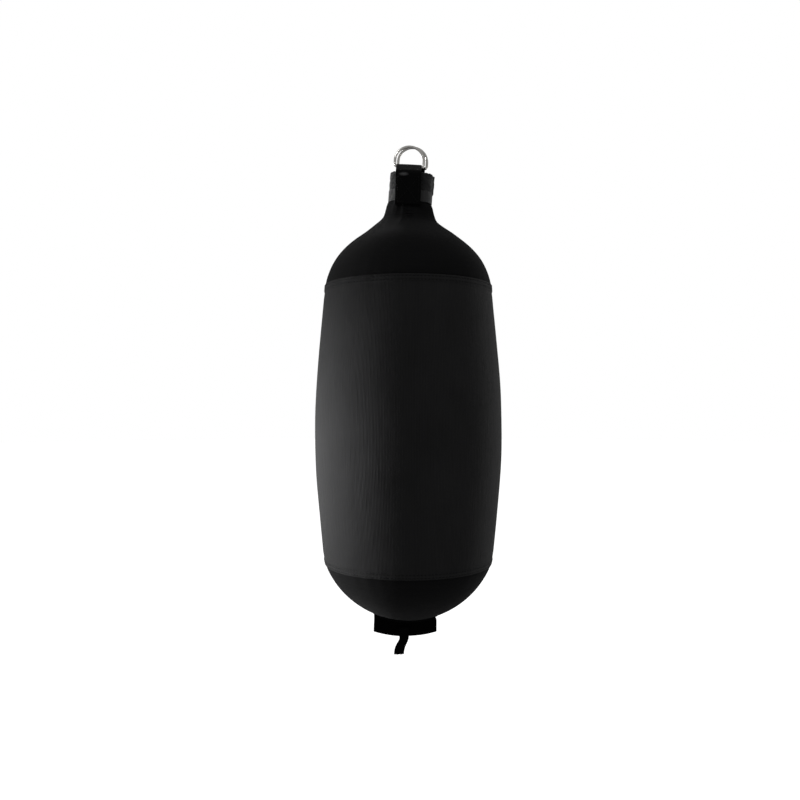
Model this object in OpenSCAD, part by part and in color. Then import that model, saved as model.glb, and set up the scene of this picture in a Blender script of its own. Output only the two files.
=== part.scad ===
// Inflatable textile boat fender: a woven cover over an air bladder, hung from two D-rings.
// Millimetres. The origin is the inner top of the D-rings, where the line passes. +Z is up,
// -Y is the front, and the body hangs down -Z.

/* [Body] */
// Largest diameter of the inflated body
body_d = 290; // [270:2:310]
// Diameter at the seam between the shoulder and the body
top_seam_d = 259; // [250:1:265]
// Diameter where the side turns into the base
turn_d = 265.2; // [258:0.4:268]
// Sideways set of the body's axis from the line eye
body_x = -3.8; // [-5:0.1:0]
// Height of the shoulder, from the neck's foot to its seam
shoulder_h = 98.9; // [90:0.1:108]
// Height of the side above its widest point
upper_side_h = 233.5; // [200:0.5:260]
// Height of the side below its widest point
lower_side_h = 173.5; // [150:0.5:200]
// Height of the base, from the turn to the pole
base_h = 108.9; // [100:0.1:115]
// Distance of the base seam below the turn
seam_below_turn = 21.5; // [16:0.5:26]
// Thickness of the cover's fabric
fabric_t = 1.5; // [1.2:0.1:1.8]

/* [Neck] */
// Drop from the line eye to the neck's top
neck_drop = 42.3; // [41:0.1:43]
// Height of the neck, from its top to its foot
neck_h = 76.3; // [75:0.1:80]
// Radius of the neck under the bands
neck_r = 31; // [30:0.2:31.4]
// Half depth of the neck, which the straps press flat
neck_depth = 20.6; // [19:0.1:20.8]
// Sideways lean of the neck, in degrees
neck_lean = 3.8; // [0:0.1:5]
// Height of the upper band, a hook-and-loop wrap
upper_band_h = 26.2; // [24:0.1:27]
// Height of the lower band
lower_band_h = 17.5; // [15:0.5:18]
// Thickness of a band
band_t = 1.9; // [1.4:0.1:2]

/* [Rings and straps] */
// Width of the webbing in the rings
webbing_w = 39.5; // [36:0.5:39.5]
// Thickness of the webbing
webbing_t = 1.5; // [1.2:0.1:1.6]
// Inner width of a D-ring
ring_inner_w = 41; // [41:0.5:44]
// Diameter of the ring's wire
ring_wire_d = 4; // [3.4:0.1:4]
// Radius of the ring's lower corners, at the wire's centre
ring_corner_r = 4; // [3:0.2:4]
// Lean of each ring towards the other, in degrees
ring_lean = 3.5; // [0:0.1:3.6]
// Sideways set of each ring from the line eye
ring_offset = 2.5; // [0:0.1:3]
// Sideways lean of the straps and rings, in degrees
strap_lean = 2.6; // [0:0.1:4]
// Height of the straps' lower ends
strap_end_z = -94.6; // [-97:0.1:-94]

/* [Closure] */
// Width of the mouth in the base
mouth_w = 97.6; // [88:0.2:100]
// Depth of the mouth in the base, front to back
mouth_depth = 37.2; // [34:0.2:40]
// Sideways set of the mouth from the body's axis
mouth_offset = -4.5; // [-6:0.5:6]
// Drop of the closed fin below the pole
fin_drop = 27.6; // [22:0.2:32]
// Radius of the fin's lower edge
fin_edge_r = 164; // [140:1:220]
// Thickness of a hook or loop tape
tape_t = 1.15; // [0.9:0.05:1.2]
// Width of the pull tab
tab_w = 15; // [10:0.5:16]
// Visible length of the pull tab
tab_l = 27; // [20:0.5:32]

/* [Bladder and valve] */
// Thickness of the bladder's film
film_t = 0.8; // [0.6:0.1:1]
// Room between the cover and the bladder, which the seam tapes lie in
bladder_gap = 1.2; // [1.1:0.1:1.5]
// Radius of the pocket that the valve sits in
pocket_r = 34; // [32:0.5:36]
// Radius of the valve's cap
cap_r = 15.5; // [15:0.1:15.8]
// Radius of the valve's spout
spout_r = 12; // [11.6:0.1:12]
// Radius of the poppet's stem
stem_r = 2; // [1.6:0.1:2]

/* [Hidden] */
$fn = 96;

cover_colour = [0.10, 0.10, 0.105];
panel_colour = [0.07, 0.07, 0.075];
web_colour = [0.03, 0.03, 0.03];
band_colour = [0.16, 0.16, 0.16];
light_band_colour = [0.28, 0.28, 0.28];
thread_colour = [0.05, 0.05, 0.05];
steel_colour = [0.72, 0.71, 0.70];
film_colour = [0.85, 0.84, 0.78];
valve_colour = [0.12, 0.12, 0.13];
rubber_colour = [0.05, 0.05, 0.05];
foam_colour = [0.25, 0.25, 0.26];

far = 400;         // beyond the whole part
eps = 0.01;
past = 1;          // how far a cutting shape runs past the face that it cuts
neck_margin = 10;  // and past the neck's top
mouth_reach = 40;  // and up from the pole, through the base
fit_gap = 0.1;     // between two pieces of one body that lie against each other

// Heights along the part
top_gap = 0.4;     // from the neck's top to the upper band
band_gap = 0.5;    // between the bands
foot_gap = 0.3;    // from the lower band to where the neck starts to flare
pivot_drop = 6.4;  // from the neck's foot to the point that the neck leans about
neck_top_z = -neck_drop;
neck_foot_z = neck_top_z - neck_h;
upper_band_z = neck_top_z - top_gap - upper_band_h;
lower_band_z = upper_band_z - band_gap - lower_band_h;
cinch_z = lower_band_z - foot_gap;
top_seam_z = neck_foot_z - shoulder_h;
belly_z = top_seam_z - upper_side_h;
turn_z = belly_z - lower_side_h;
base_z = turn_z - base_h;
bottom_seam_z = turn_z - seam_below_turn;
neck_pivot_z = neck_foot_z - pivot_drop;

// Curves
curve_steps = 10;
base_steps = 16;
bend_steps = 6;
function bezier(a, b, c, d, n = curve_steps) =
  [for (i = [0:n - 1]) let (t = i / n, s = 1 - t)
    s * s * s * a + 3 * s * s * t * b + 3 * s * t * t * c + t * t * t * d];
function reverse(p) = [for (i = [len(p) - 1:-1:0]) p[i]];
function inward(p, i) =
  let (d = p[min(i + 1, len(p) - 1)] - p[max(i - 1, 0)]) [d[1], -d[0]] / norm(d);
function inset(p, t) = [for (i = [0:len(p) - 1]) p[i] + t * inward(p, i)];
function ribbon(p, t) = concat(inset(p, t / 2), reverse(inset(p, -t / 2)));
function arc(centre, r, from, to, n) =
  [for (i = [0:n]) let (a = from + (to - from) * i / n) centre + r * [cos(a), sin(a)]];

// Profile of the cover's outer face, as radius and height, from the neck down to the pole
belly_r = body_d / 2;
top_seam_r = top_seam_d / 2;
turn_r = turn_d / 2;
foot_r = 48;
cinch_r = neck_r + 1.2;
neck_curve = bezier([neck_r, neck_top_z], [neck_r, neck_top_z - 17],
  [neck_r + 0.2, cinch_z + 13], [cinch_r, cinch_z]);
foot_curve = bezier([cinch_r, cinch_z], [cinch_r + 5.6, cinch_z - 4],
  [cinch_r + 4.6, neck_foot_z + 4], [foot_r, neck_foot_z]);
shoulder_curve = bezier([foot_r, neck_foot_z], [foot_r + 45, neck_foot_z - 0.34 * shoulder_h],
  [top_seam_r - 11, top_seam_z + 0.51 * shoulder_h], [top_seam_r, top_seam_z]);
upper_side_curve = bezier([top_seam_r, top_seam_z],
  [top_seam_r + 9, top_seam_z - 0.43 * upper_side_h],
  [belly_r, belly_z + 0.34 * upper_side_h], [belly_r, belly_z]);
lower_side_curve = bezier([belly_r, belly_z], [belly_r, belly_z - 0.34 * lower_side_h],
  [turn_r + 7, turn_z + 0.46 * lower_side_h], [turn_r, turn_z]);
base_curve = bezier([turn_r, turn_z], [turn_r - 2.6, turn_z - 0.51 * base_h],
  [turn_r / 2, base_z], [0, base_z], base_steps);
body_curve = concat(shoulder_curve, upper_side_curve, lower_side_curve, base_curve);

module on_body_axis() {
  translate([body_x, 0, 0]) children();
}

module on_neck_axis() {
  translate([body_x, 0, neck_pivot_z]) rotate([0, neck_lean, 0])
    translate([0, 0, -neck_pivot_z]) children();
}

module slab(z_low, z_high) {
  translate([-far / 2, -far / 2, z_low]) cube([far, far, z_high - z_low]);
}

// A layer of the body between two depths under the cover's outer face
module body_layer(outer_depth, inner_depth) {
  outer = concat(inset(body_curve, outer_depth), [[0, base_z + outer_depth]]);
  inner = concat(inset(body_curve, inner_depth), [[0, base_z + inner_depth]]);
  on_body_axis() rotate_extrude() polygon(concat(outer, reverse(inner)));
}

// Everything inside the body at a depth under the cover's outer face
module body_solid(depth) {
  outer = concat(inset(body_curve, depth), [[0, base_z + depth]]);
  on_body_axis() rotate_extrude() polygon(concat([[0, outer[0][1]]], outer));
}

// The neck as a full solid, leaning and pressed flat, at a depth under its outer face
module neck_solid(depth) {
  foot = inset([for (p = concat(neck_curve, foot_curve)) if (p[0] < foot_r - 4) p], depth);
  side = concat(
    [[neck_depth, neck_top_z + neck_margin], [neck_depth, neck_top_z]],
    bezier([neck_depth + 0.8, cinch_z], [neck_depth + 1.6, cinch_z - 13],
      [neck_depth + 2.9, neck_foot_z + 10], [34, neck_foot_z + 3]),
    [[60, neck_pivot_z - 1]]);
  half = inset(side, depth);
  intersection() {
    on_neck_axis() rotate_extrude()
      polygon(concat([[0, foot[0][1]]], foot, [[0, neck_foot_z]]));
    rotate([90, 0, 90]) translate([0, 0, -far / 2])
      linear_extrude(far) polygon(concat(half, [for (p = reverse(half)) [-p[0], p[1]]]));
  }
}

module shoulder_solid(depth) {
  side = [for (p = concat(foot_curve, shoulder_curve)) if (p[1] < neck_foot_z + 10) p];
  outer = concat(inset(side, depth), [[top_seam_r - depth, top_seam_z]]);
  on_body_axis() rotate_extrude() polygon(concat([[0, outer[0][1]]], outer, [[0, top_seam_z]]));
}

// Cover panels

module shoulder_panel() color(panel_colour) difference() {
  union() {
    shoulder_solid(0);
    neck_solid(0);
  }
  union() {
    shoulder_solid(fabric_t);
    neck_solid(fabric_t);
    translate([0, 0, top_seam_z - past]) on_body_axis()
      cylinder(r = top_seam_r - fabric_t, h = past + eps);
    on_neck_axis() intersection() {
      translate([0, 0, neck_top_z - 1]) cylinder(r = neck_r - fabric_t, h = neck_margin);
      translate([-far / 2, -(neck_depth - fabric_t), neck_top_z - 1])
        cube([far, 2 * (neck_depth - fabric_t), neck_margin]);
    }
  }
}

module body_panel() color(cover_colour) intersection() {
  body_layer(0, fabric_t);
  slab(bottom_seam_z, top_seam_z);
}

module mouth(margin) {
  translate([body_x + mouth_offset - mouth_w / 2 - margin, -mouth_depth / 2 - margin, base_z - margin])
    cube([mouth_w + 2 * margin, mouth_depth + 2 * margin, mouth_reach]);
}

module base_panel() color(panel_colour) difference() {
  intersection() {
    body_layer(0, fabric_t);
    slab(base_z - past, bottom_seam_z);
  }
  mouth(0);
}

// Seam tapes inside the cover

seam_tape_t = 0.7;
seam_tape_w = 16;
binding_w = 9;
tape_from = fabric_t + fit_gap;       // depth of a tape's outer face under the cover's
tape_to = tape_from + seam_tape_t;

module seam_ring(z) intersection() {
  body_layer(tape_from, tape_to);
  slab(z - seam_tape_w / 2, z + seam_tape_w / 2);
}

module top_seam_tape() color(web_colour) seam_ring(top_seam_z);

module bottom_seam_tape() color(web_colour) seam_ring(bottom_seam_z);

back_tape_h = top_seam_z - bottom_seam_z - seam_tape_w - 2 * fit_gap;

module back_seam_tape() color(web_colour) intersection() {
  body_layer(tape_from, tape_to);
  translate([body_x - seam_tape_w / 2, 0, bottom_seam_z + seam_tape_w / 2 + fit_gap])
    cube([seam_tape_w, far, back_tape_h]);
}

module mouth_binding() color(web_colour) difference() {
  intersection() {
    body_layer(tape_from, tape_to);
    mouth(binding_w);
  }
  mouth(0);
}

// Stitching lies in ridges of thread on the outer face

thread_h = 0.35;   // how far a thread stands off the fabric
thread_w = 0.8;
row_gap = 7;       // between the two rows of the back seam
seam_rows = [0.3 * row_gap, row_gap]; // distances of the other seams' rows from their panels' edge

module stitch_ring(z) intersection() {
  body_layer(-thread_h, -eps);
  slab(z - thread_w / 2, z + thread_w / 2);
}

module top_seam_stitching() color(thread_colour) {
  for (row = seam_rows) stitch_ring(top_seam_z - row);
}

module bottom_seam_stitching() color(thread_colour) {
  for (row = seam_rows) stitch_ring(bottom_seam_z + row);
}

module back_seam_stitching() color(thread_colour) {
  row_h = top_seam_z - bottom_seam_z - 2 * row_gap - 2 * thread_w;
  for (side = [-1, 1]) intersection() {
    body_layer(-thread_h, -eps);
    translate([body_x + side * row_gap / 2 - thread_w / 2, 0, bottom_seam_z + row_gap + thread_w])
      cube([thread_w, far, row_h]);
  }
}

// Neck

module neck_slice(depth, z_low, z_high) intersection() {
  neck_solid(depth);
  on_neck_axis() slab(z_low, z_high);
}

cap_disc_t = 1.4;
cap_disc_z = neck_top_z - cap_disc_t - 0.2;

module neck_cap() color(panel_colour)
  neck_slice(fabric_t + fit_gap, cap_disc_z, cap_disc_z + cap_disc_t);

module neck_core() color(foam_colour)
  neck_slice(fabric_t + 2 * fit_gap, neck_foot_z + 7, cap_disc_z - 3 * fit_gap);

module band_oval(r, depth, h) intersection() {
  cylinder(r = r, h = h);
  translate([-r, -depth, 0]) cube([2 * r, 2 * depth, h]);
}

module band(z_low, h, r, depth) on_neck_axis() translate([0, 0, z_low]) difference() {
  band_oval(r + band_t, depth + band_t, h);
  translate([0, 0, -past]) band_oval(r, depth, h + 2 * past);
}

upper_band_r = neck_r + 0.5;
upper_band_depth = neck_depth + 0.9;
lower_band_r = cinch_r + 0.2;
lower_band_depth = neck_depth + 1.1;
lap_t = 1;         // second layer where the wrap overlaps itself
lap_in = 1;        // how far it keeps from the band's edges
lap_from = 8;      // degrees round from the right side to the back
lap_to = 50;

module upper_neck_band() color(band_colour) {
  outer_r = upper_band_r + band_t;
  band(upper_band_z, upper_band_h, upper_band_r, upper_band_depth);
  on_neck_axis() rotate([0, 0, lap_from]) translate([0, 0, upper_band_z + lap_in])
    rotate_extrude(angle = lap_to - lap_from)
      translate([outer_r - eps, 0]) square([lap_t, upper_band_h - 2 * lap_in]);
}

module lower_neck_band() color(light_band_colour)
  band(lower_band_z, lower_band_h, lower_band_r, lower_band_depth);

// D-rings: the bar turns in the strap's loop

bow_r = (ring_inner_w + ring_wire_d) / 2;
bar_z = -30;
bar_y = 4.4;
bar_drop = ring_wire_d / 2 - bar_z;   // from the wire's centre at the top to the bar
leg_h = bar_drop - bow_r - ring_corner_r;

module wire_arc(r, from, to) rotate([90, 0, 0]) rotate([0, 0, from])
  rotate_extrude(angle = to - from) translate([r, 0]) circle(d = ring_wire_d);

module wire(length) cylinder(d = ring_wire_d, h = length);

// A ring with its bar along X through the origin and its bow above
module d_ring() {
  bar_half = bow_r - ring_corner_r;
  translate([0, 0, bar_drop - bow_r]) wire_arc(bow_r, 0, 180);
  for (side = [-1, 1]) translate([side * bow_r, 0, ring_corner_r]) wire(leg_h);
  translate([bar_half, 0, ring_corner_r]) wire_arc(ring_corner_r, 270, 360);
  translate([-bar_half, 0, ring_corner_r]) wire_arc(ring_corner_r, 180, 270);
  translate([-bar_half, 0, 0]) rotate([0, 90, 0]) wire(2 * bar_half);
}

module front_d_ring() color(steel_colour)
  translate([-ring_offset, -bar_y, bar_z]) rotate([0, strap_lean, 0])
    rotate([-ring_lean, 0, 0]) d_ring();

module rear_d_ring() color(steel_colour)
  translate([ring_offset, bar_y, bar_z]) rotate([0, strap_lean, 0])
    rotate([ring_lean, 0, 0]) d_ring();

// Straps: each is folded round its ring's bar and runs down the neck in two layers

loop_play = 0.45;  // between the bar and the webbing round it
strap_gap = 0.4;   // between the lower band and the strap
layer_gap = 0.2;   // between a strap's two layers
loop_r = ring_wire_d / 2 + loop_play + webbing_t / 2;
inner_y = lower_band_depth + band_t + strap_gap + webbing_t / 2;
outer_y = inner_y + webbing_t + layer_gap;
fold_r = (outer_y - inner_y) / 2;
hem_h = 9;
inner_slope = 22;                     // from the neck's edge to the underside of the ring's bar
outer_slope = 34;                     // and to the bar's top
inner_corner = [inner_y, neck_top_z + 0.6];
outer_corner = [outer_y, neck_top_z + 1.1];
corner_reach = 2.5;                   // how far the bend at a corner runs each way

function down_from(corner) = corner - [0, corner_reach];
function up_from(corner, slope) = corner + corner_reach * [-cos(slope), sin(slope)];

// Path of the webbing's middle, as distance from the centre plane and height
strap_path = concat(
  [[inner_y, strap_end_z + hem_h + 3]],
  bezier(down_from(inner_corner), inner_corner, inner_corner, up_from(inner_corner, inner_slope),
    bend_steps),
  arc([bar_y, bar_z], loop_r, -90 - inner_slope, -270 - outer_slope, 14),
  bezier(up_from(outer_corner, outer_slope), outer_corner, outer_corner, down_from(outer_corner),
    bend_steps),
  [down_from(outer_corner)],
  arc([(inner_y + outer_y) / 2, strap_end_z + fold_r + webbing_t / 2], fold_r, 0, -180, 8),
  [[inner_y, strap_end_z + hem_h]]);

module strap(side) translate([side * ring_offset, 0, bar_z]) rotate([0, strap_lean, 0])
  translate([-webbing_w / 2, 0, -bar_z]) scale_side(side) rotate([90, 0, 90])
    linear_extrude(webbing_w) polygon(ribbon(strap_path, webbing_t));

module scale_side(side) {
  if (side < 0) mirror([0, 1, 0]) children();
  else children();
}

module front_ring_strap() color(web_colour) strap(-1);

module rear_ring_strap() color(web_colour) strap(1);

box_w = 32;
box_top_z = neck_top_z - 8.7;
box_bottom_z = strap_end_z + 4;
thread_d = 0.7;

module thread_line(from, to) {
  run = to - from;
  translate([from[0], 0, from[1]]) rotate([0, atan2(run[0], run[1]), 0])
    translate([-thread_d / 2, -thread_d / 2, -thread_d / 2])
      cube([thread_d, thread_d, norm(run) + thread_d]);
}

// A box with a cross in it, sewn through both layers
module cross_box() {
  corners = [[-box_w / 2, box_top_z], [box_w / 2, box_top_z],
    [box_w / 2, box_bottom_z], [-box_w / 2, box_bottom_z]];
  for (i = [0:3]) thread_line(corners[i], corners[(i + 1) % 4]);
  thread_line(corners[0], corners[2]);
  thread_line(corners[1], corners[3]);
}

module strap_stitching(side) translate([side * ring_offset, 0, bar_z]) rotate([0, strap_lean, 0])
  translate([0, side * (outer_y + webbing_t / 2 + thread_d / 2 + eps), -bar_z]) cross_box();

module front_strap_stitching() color(thread_colour) strap_stitching(-1);

module rear_strap_stitching() color(thread_colour) strap_stitching(1);

// Bladder: a film under the cover, with a pocket at the pole for the valve

pocket_depth = 21.4;
floor_z = base_z + pocket_depth;      // the pocket's floor, where the valve is welded
bladder_depth = fabric_t + bladder_gap;
bladder_side = [for (p = inset(body_curve, bladder_depth))
  if (p[0] > 62 && p[1] < neck_foot_z) p];
bladder_base = [for (p = inset(base_curve, bladder_depth))
  if (p[0] > pocket_r + 5 && p[0] <= 62) p];
crown_end = bladder_side[0];
lip = bladder_base[len(bladder_base) - 1];
bladder_path = concat(
  bezier([0, neck_foot_z - 4], [25, neck_foot_z - 4], crown_end + [-26, 19.5], crown_end),
  bladder_side, bladder_base,
  bezier(lip + [-1, -0.3], [pocket_r + 1, lip[1] - 1.4], [pocket_r, lip[1] - 0.4],
    [pocket_r, lip[1] + 3], bend_steps),
  bezier([pocket_r, floor_z - 4], [pocket_r, floor_z - 1], [pocket_r - 1, floor_z],
    [pocket_r - 4, floor_z], bend_steps),
  [[pocket_r - 4.5, floor_z], [20, floor_z]]);

module bladder() color(film_colour) on_body_axis() rotate_extrude() {
  inner = inset(bladder_path, film_t);
  polygon(concat(bladder_path, [for (p = reverse(inner)) [max(p[0], 0), p[1]]]));
}

// Valve, on the body's axis

play = 0.05;       // between valve pieces that touch or slide
flange_r = 30;
flange_t = 1.2;
flange_z = floor_z - flange_t - play; // lower face of the welded flange
housing_z = flange_z - play;          // upper face of the housing's own flange
housing_flange_r = 19;
housing_flange_t = 1.6;
spout_h = 6.6;
spout_z = housing_z - housing_flange_t - spout_h;  // the spout's open end
housing_r = 14;
chamber_r = 11.5;                     // inside the housing, above the seat
chamber_h = 19;
bore_r = 9;                           // below the seat
seat_r = 8;
seat_t = 1.6;
seat_z = housing_z + 7.1;
spider_z = housing_z + 1.3;
spider_t = 2.4;
spider_r = 4;
spoke_w = 2;
guide_r = stem_r + play;
head_z = spout_z + 0.9;
head_r = 5;
head_t = 1.6;
disc_z = seat_z + 1.35;
disc_r = 9.5;
disc_t = 1.6;
nut_h = 2;
seal_r = 10;
seal_t = 1.2;

module washer(outer_r, inner_r, t) difference() {
  cylinder(r = outer_r, h = t);
  translate([0, 0, -past]) cylinder(r = inner_r, h = t + 2 * past);
}

module valve_flange() color(film_colour) on_body_axis()
  translate([0, 0, flange_z]) washer(flange_r, housing_r + fit_gap, flange_t);

module valve_housing() color(valve_colour) on_body_axis() {
  rotate_extrude() polygon([
    [spout_r, spout_z], [spout_r, housing_z - housing_flange_t],
    [housing_flange_r, housing_z - housing_flange_t], [housing_flange_r, housing_z],
    [housing_r, housing_z], [housing_r, housing_z + chamber_h],
    [chamber_r, housing_z + chamber_h], [chamber_r, seat_z], [seat_r, seat_z],
    [seat_r, seat_z - seat_t], [bore_r, seat_z - seat_t - (bore_r - seat_r)], [bore_r, spout_z]]);
  translate([0, 0, spider_z]) difference() {
    union() {
      cylinder(r = spider_r, h = spider_t);
      for (a = [90, 210, 330]) rotate([0, 0, a]) translate([0, -spoke_w / 2, 0])
        cube([bore_r + 0.5, spoke_w, spider_t]);
    }
    translate([0, 0, -past]) cylinder(r = guide_r, h = spider_t + 2 * past);
  }
}

module valve_poppet() color(valve_colour) on_body_axis() {
  translate([0, 0, head_z]) cylinder(r = head_r, h = head_t);
  translate([0, 0, head_z]) cylinder(r = stem_r, h = disc_z - head_z + disc_t / 2);
  translate([0, 0, disc_z]) cylinder(r = disc_r, h = disc_t);
  translate([0, 0, disc_z + disc_t - eps]) cylinder(r1 = 2 * stem_r, r2 = 1.25 * stem_r, h = nut_h);
}

module poppet_seal() color(rubber_colour) on_body_axis()
  translate([0, 0, seat_z + fit_gap]) washer(seal_r, guide_r, seal_t);

// Compression spring between the spider and the poppet's head
spring_top = spider_z - play;
spring_bottom = head_z + head_t + play;
spring_wire = 0.7;
spring_r = 3.5;
spring_turns = 4;
ring_sides = 8;
rings_per_turn = 16;

function coil_point(i, side) =
  let (
    last = spring_turns * rings_per_turn,
    a = 360 * i / rings_per_turn,
    b = 360 * side / ring_sides,
    rise = (spring_top - spring_bottom - spring_wire) * i / last,
    r = spring_r + spring_wire / 2 * cos(b)
  )
  [r * cos(a), r * sin(a), spring_bottom + spring_wire / 2 + rise + spring_wire / 2 * sin(b)];

module poppet_spring() color(steel_colour) on_body_axis() {
  last = spring_turns * rings_per_turn;
  points = [for (i = [0:last]) for (s = [0:ring_sides - 1]) coil_point(i, s)];
  sides = [for (i = [0:last - 1]) for (s = [0:ring_sides - 1])
    let (n = (s + 1) % ring_sides)
    [i * ring_sides + s, i * ring_sides + n, (i + 1) * ring_sides + n, (i + 1) * ring_sides + s]];
  polyhedron(points, concat([[for (s = [ring_sides - 1:-1:0]) s]], sides,
    [[for (s = [0:ring_sides - 1]) last * ring_sides + s]]), convexity = 10);
}

tether_t = 1;
tether_w = 5;
tether_r = 15.8;                      // outer radius of its ring round the spout
tether_z = housing_z - housing_flange_t - play - tether_t;
tether_end_z = tether_z - 5.4;        // where it meets the cap
cap_top_z = tether_z - 0.3;
cap_floor_z = spout_z - 0.85;
cap_floor_t = 1.8;
cap_bottom_z = cap_floor_z - cap_floor_t;
grip_r = 1.4;                         // flutes round the cap

module valve_cap() color(valve_colour) on_body_axis() difference() {
  translate([0, 0, cap_bottom_z]) cylinder(r = cap_r, h = cap_top_z - cap_bottom_z);
  translate([0, 0, cap_floor_z]) cylinder(r = spout_r + 0.3, h = cap_top_z - cap_floor_z + past);
  for (a = [0:30:330]) rotate([0, 0, a]) translate([cap_r + 0.5, 0, cap_bottom_z - past])
    cylinder(r = grip_r, h = far / 20, $fn = 24);
}

module cap_seal() color(rubber_colour) on_body_axis()
  translate([0, 0, cap_floor_z + play]) washer(spout_r - 0.1, 8.5, 0.7);

module cap_tether() color(rubber_colour) on_body_axis() {
  ring_z = tether_z + tether_t / 2;
  loop = ribbon(concat(
    [[tether_r - 1.3, ring_z]],
    bezier([17, ring_z], [24.5, ring_z + 0.3], [25, tether_end_z], [cap_r + 2.2, tether_end_z], 8),
    [[cap_r + 2, tether_end_z], [cap_r + 0.9, tether_end_z]]), tether_t);
  difference() {
    union() {
      translate([0, 0, tether_z]) cylinder(r = tether_r, h = tether_t);
      translate([0, tether_w / 2, 0]) rotate([90, 0, 0]) linear_extrude(tether_w) polygon(loop);
    }
    translate([0, 0, tether_z - past]) cylinder(r = spout_r + 0.15, h = tether_t + 2 * past);
  }
}

// Closure: two flaps cover the mouth, and their hook and loop tapes press together in a fin

mouth_x = body_x + mouth_offset;
flap_gap = 0.45;   // at the mouth's edges
press_gap = 0.2;   // from the centre plane to each tape
strip_in = press_gap + tape_t;        // inner face of a strip
strip_out = strip_in + fabric_t;
cut_w = 4;         // width of the fin's cut corner
cut_slant = 0.6;   // how far the fin's ends slant out below it
strip_margin = 2;  // a tape keeps this far inside its flap's edge
fin_rows = [4, 19]; // heights of the stitching above the fin's lower edge

// Outline of the fin across X and Z, with its upper right corner cut
module fin_outline(margin) intersection() {
  half = mouth_w / 2 - flap_gap - margin;
  translate([mouth_x, 0]) polygon([
    [-half, base_z + mouth_reach], [half - cut_w, base_z + mouth_reach],
    [half - cut_w, base_z + cut_w], [half - cut_slant, base_z - cut_w],
    [half, base_z - mouth_reach], [-half - cut_slant, base_z - mouth_reach]]);
  translate([mouth_x, base_z - fin_drop + fin_edge_r]) circle(r = fin_edge_r - margin, $fn = 180);
}

// A layer of the fin between two distances behind the centre plane
module fin_layer(from, to, margin, side) difference() {
  scale_side(side) translate([0, to, 0]) rotate([90, 0, 0])
    linear_extrude(to - from) fin_outline(margin);
  body_solid(fabric_t);
}

// A flap swings about a line along its outer edge
hinge_y = mouth_depth / 2 - flap_gap;
hinge_z = base_z + 1.2;

// Room for a flap: above the hinge it keeps within the arc that clears the centre plane
module swing_room() union() {
  slab(base_z - far, hinge_z);
  translate([-far / 2, hinge_y, hinge_z]) rotate([0, 90, 0])
    cylinder(r = hinge_y - press_gap, h = far);
}

module closure_flap(side) intersection() {
  union() {
    fin_layer(strip_in, strip_out, 0, side);
    scale_side(side) intersection() {
      body_layer(0, fabric_t);
      translate([mouth_x - mouth_w / 2 + flap_gap, strip_in, base_z - past])
        cube([mouth_w - 2 * flap_gap, hinge_y - flap_gap - strip_in, mouth_reach]);
    }
  }
  scale_side(side) swing_room();
}

module front_closure_flap() color(web_colour) closure_flap(-1);

module rear_closure_flap() color(web_colour) closure_flap(1);

// A strip of tape on the inner face of a flap, on the part of the fin below the pole
module fin_strip(side) intersection() {
  fin_layer(press_gap, strip_in - eps, strip_margin, side);
  slab(base_z - far, base_z - press_gap);
}

module hook_tape() color(web_colour) fin_strip(-1);

module loop_tape() color(web_colour) fin_strip(1);

// Rows of stitches along the fin's lower and upper edges
module flap_stitching(side) scale_side(side) intersection() {
  translate([mouth_x, strip_out + thread_d / 2 + eps, base_z - fin_drop + fin_edge_r])
    rotate([90, 0, 0]) union() {
      for (up = fin_rows) rotate_extrude($fn = 180)
        translate([fin_edge_r - up - thread_d / 2, -thread_d / 2]) square(thread_d);
    }
  translate([mouth_x - mouth_w / 2 + cut_w, 0, base_z - fin_drop])
    cube([mouth_w - 2.5 * cut_w, mouth_depth / 2, fin_rows[1] + 5]);
}

module front_flap_stitching() color(thread_colour) flap_stitching(-1);

module rear_flap_stitching() color(thread_colour) flap_stitching(1);

// Pull tab: a short piece of webbing sewn to the front flap's lower edge

tab_y = -(strip_in + fabric_t / 2);
tab_x = mouth_x - 2.1;
tab_top_z = base_z - fin_drop - 1.3;
tab_t = 1.4;
tab_drift = -7.8;  // how far the tab wanders sideways
bar_rows = [6, 8.5, 11]; // heights of the bar's stitches above the fin's lower edge
tab_path = concat(
  bezier([tab_x, tab_top_z], [tab_x, tab_top_z - 0.35 * tab_l],
    [tab_x + tab_drift - 0.3, tab_top_z - 0.5 * tab_l], [tab_x + tab_drift, tab_top_z - tab_l], 12),
  [[tab_x + tab_drift, tab_top_z - tab_l]]);

module pull_tab() color(web_colour) translate([0, tab_y + tab_t / 2, 0]) rotate([90, 0, 0])
  linear_extrude(tab_t) polygon(ribbon(tab_path, tab_w));

// Bar of stitches that holds the tab, on the front flap's outer face
module pull_tab_stitching() color(thread_colour)
  for (up = bar_rows) translate([tab_x - tab_w / 2 + 0.5, -strip_out - thread_d / 2 - eps,
      base_z - fin_drop + up])
    rotate([0, 90, 0]) cylinder(d = thread_d, h = tab_w - 1, $fn = 24);

shoulder_panel();
body_panel();
base_panel();
top_seam_tape();
bottom_seam_tape();
back_seam_tape();
mouth_binding();
top_seam_stitching();
bottom_seam_stitching();
back_seam_stitching();
neck_core();
neck_cap();
upper_neck_band();
lower_neck_band();
front_ring_strap();
rear_ring_strap();
front_strap_stitching();
rear_strap_stitching();
front_d_ring();
rear_d_ring();
bladder();
valve_flange();
valve_housing();
valve_poppet();
poppet_seal();
poppet_spring();
valve_cap();
cap_seal();
cap_tether();
front_closure_flap();
hook_tape();
front_flap_stitching();
rear_closure_flap();
loop_tape();
rear_flap_stitching();
pull_tab();
pull_tab_stitching();
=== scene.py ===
import math
import random

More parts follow.
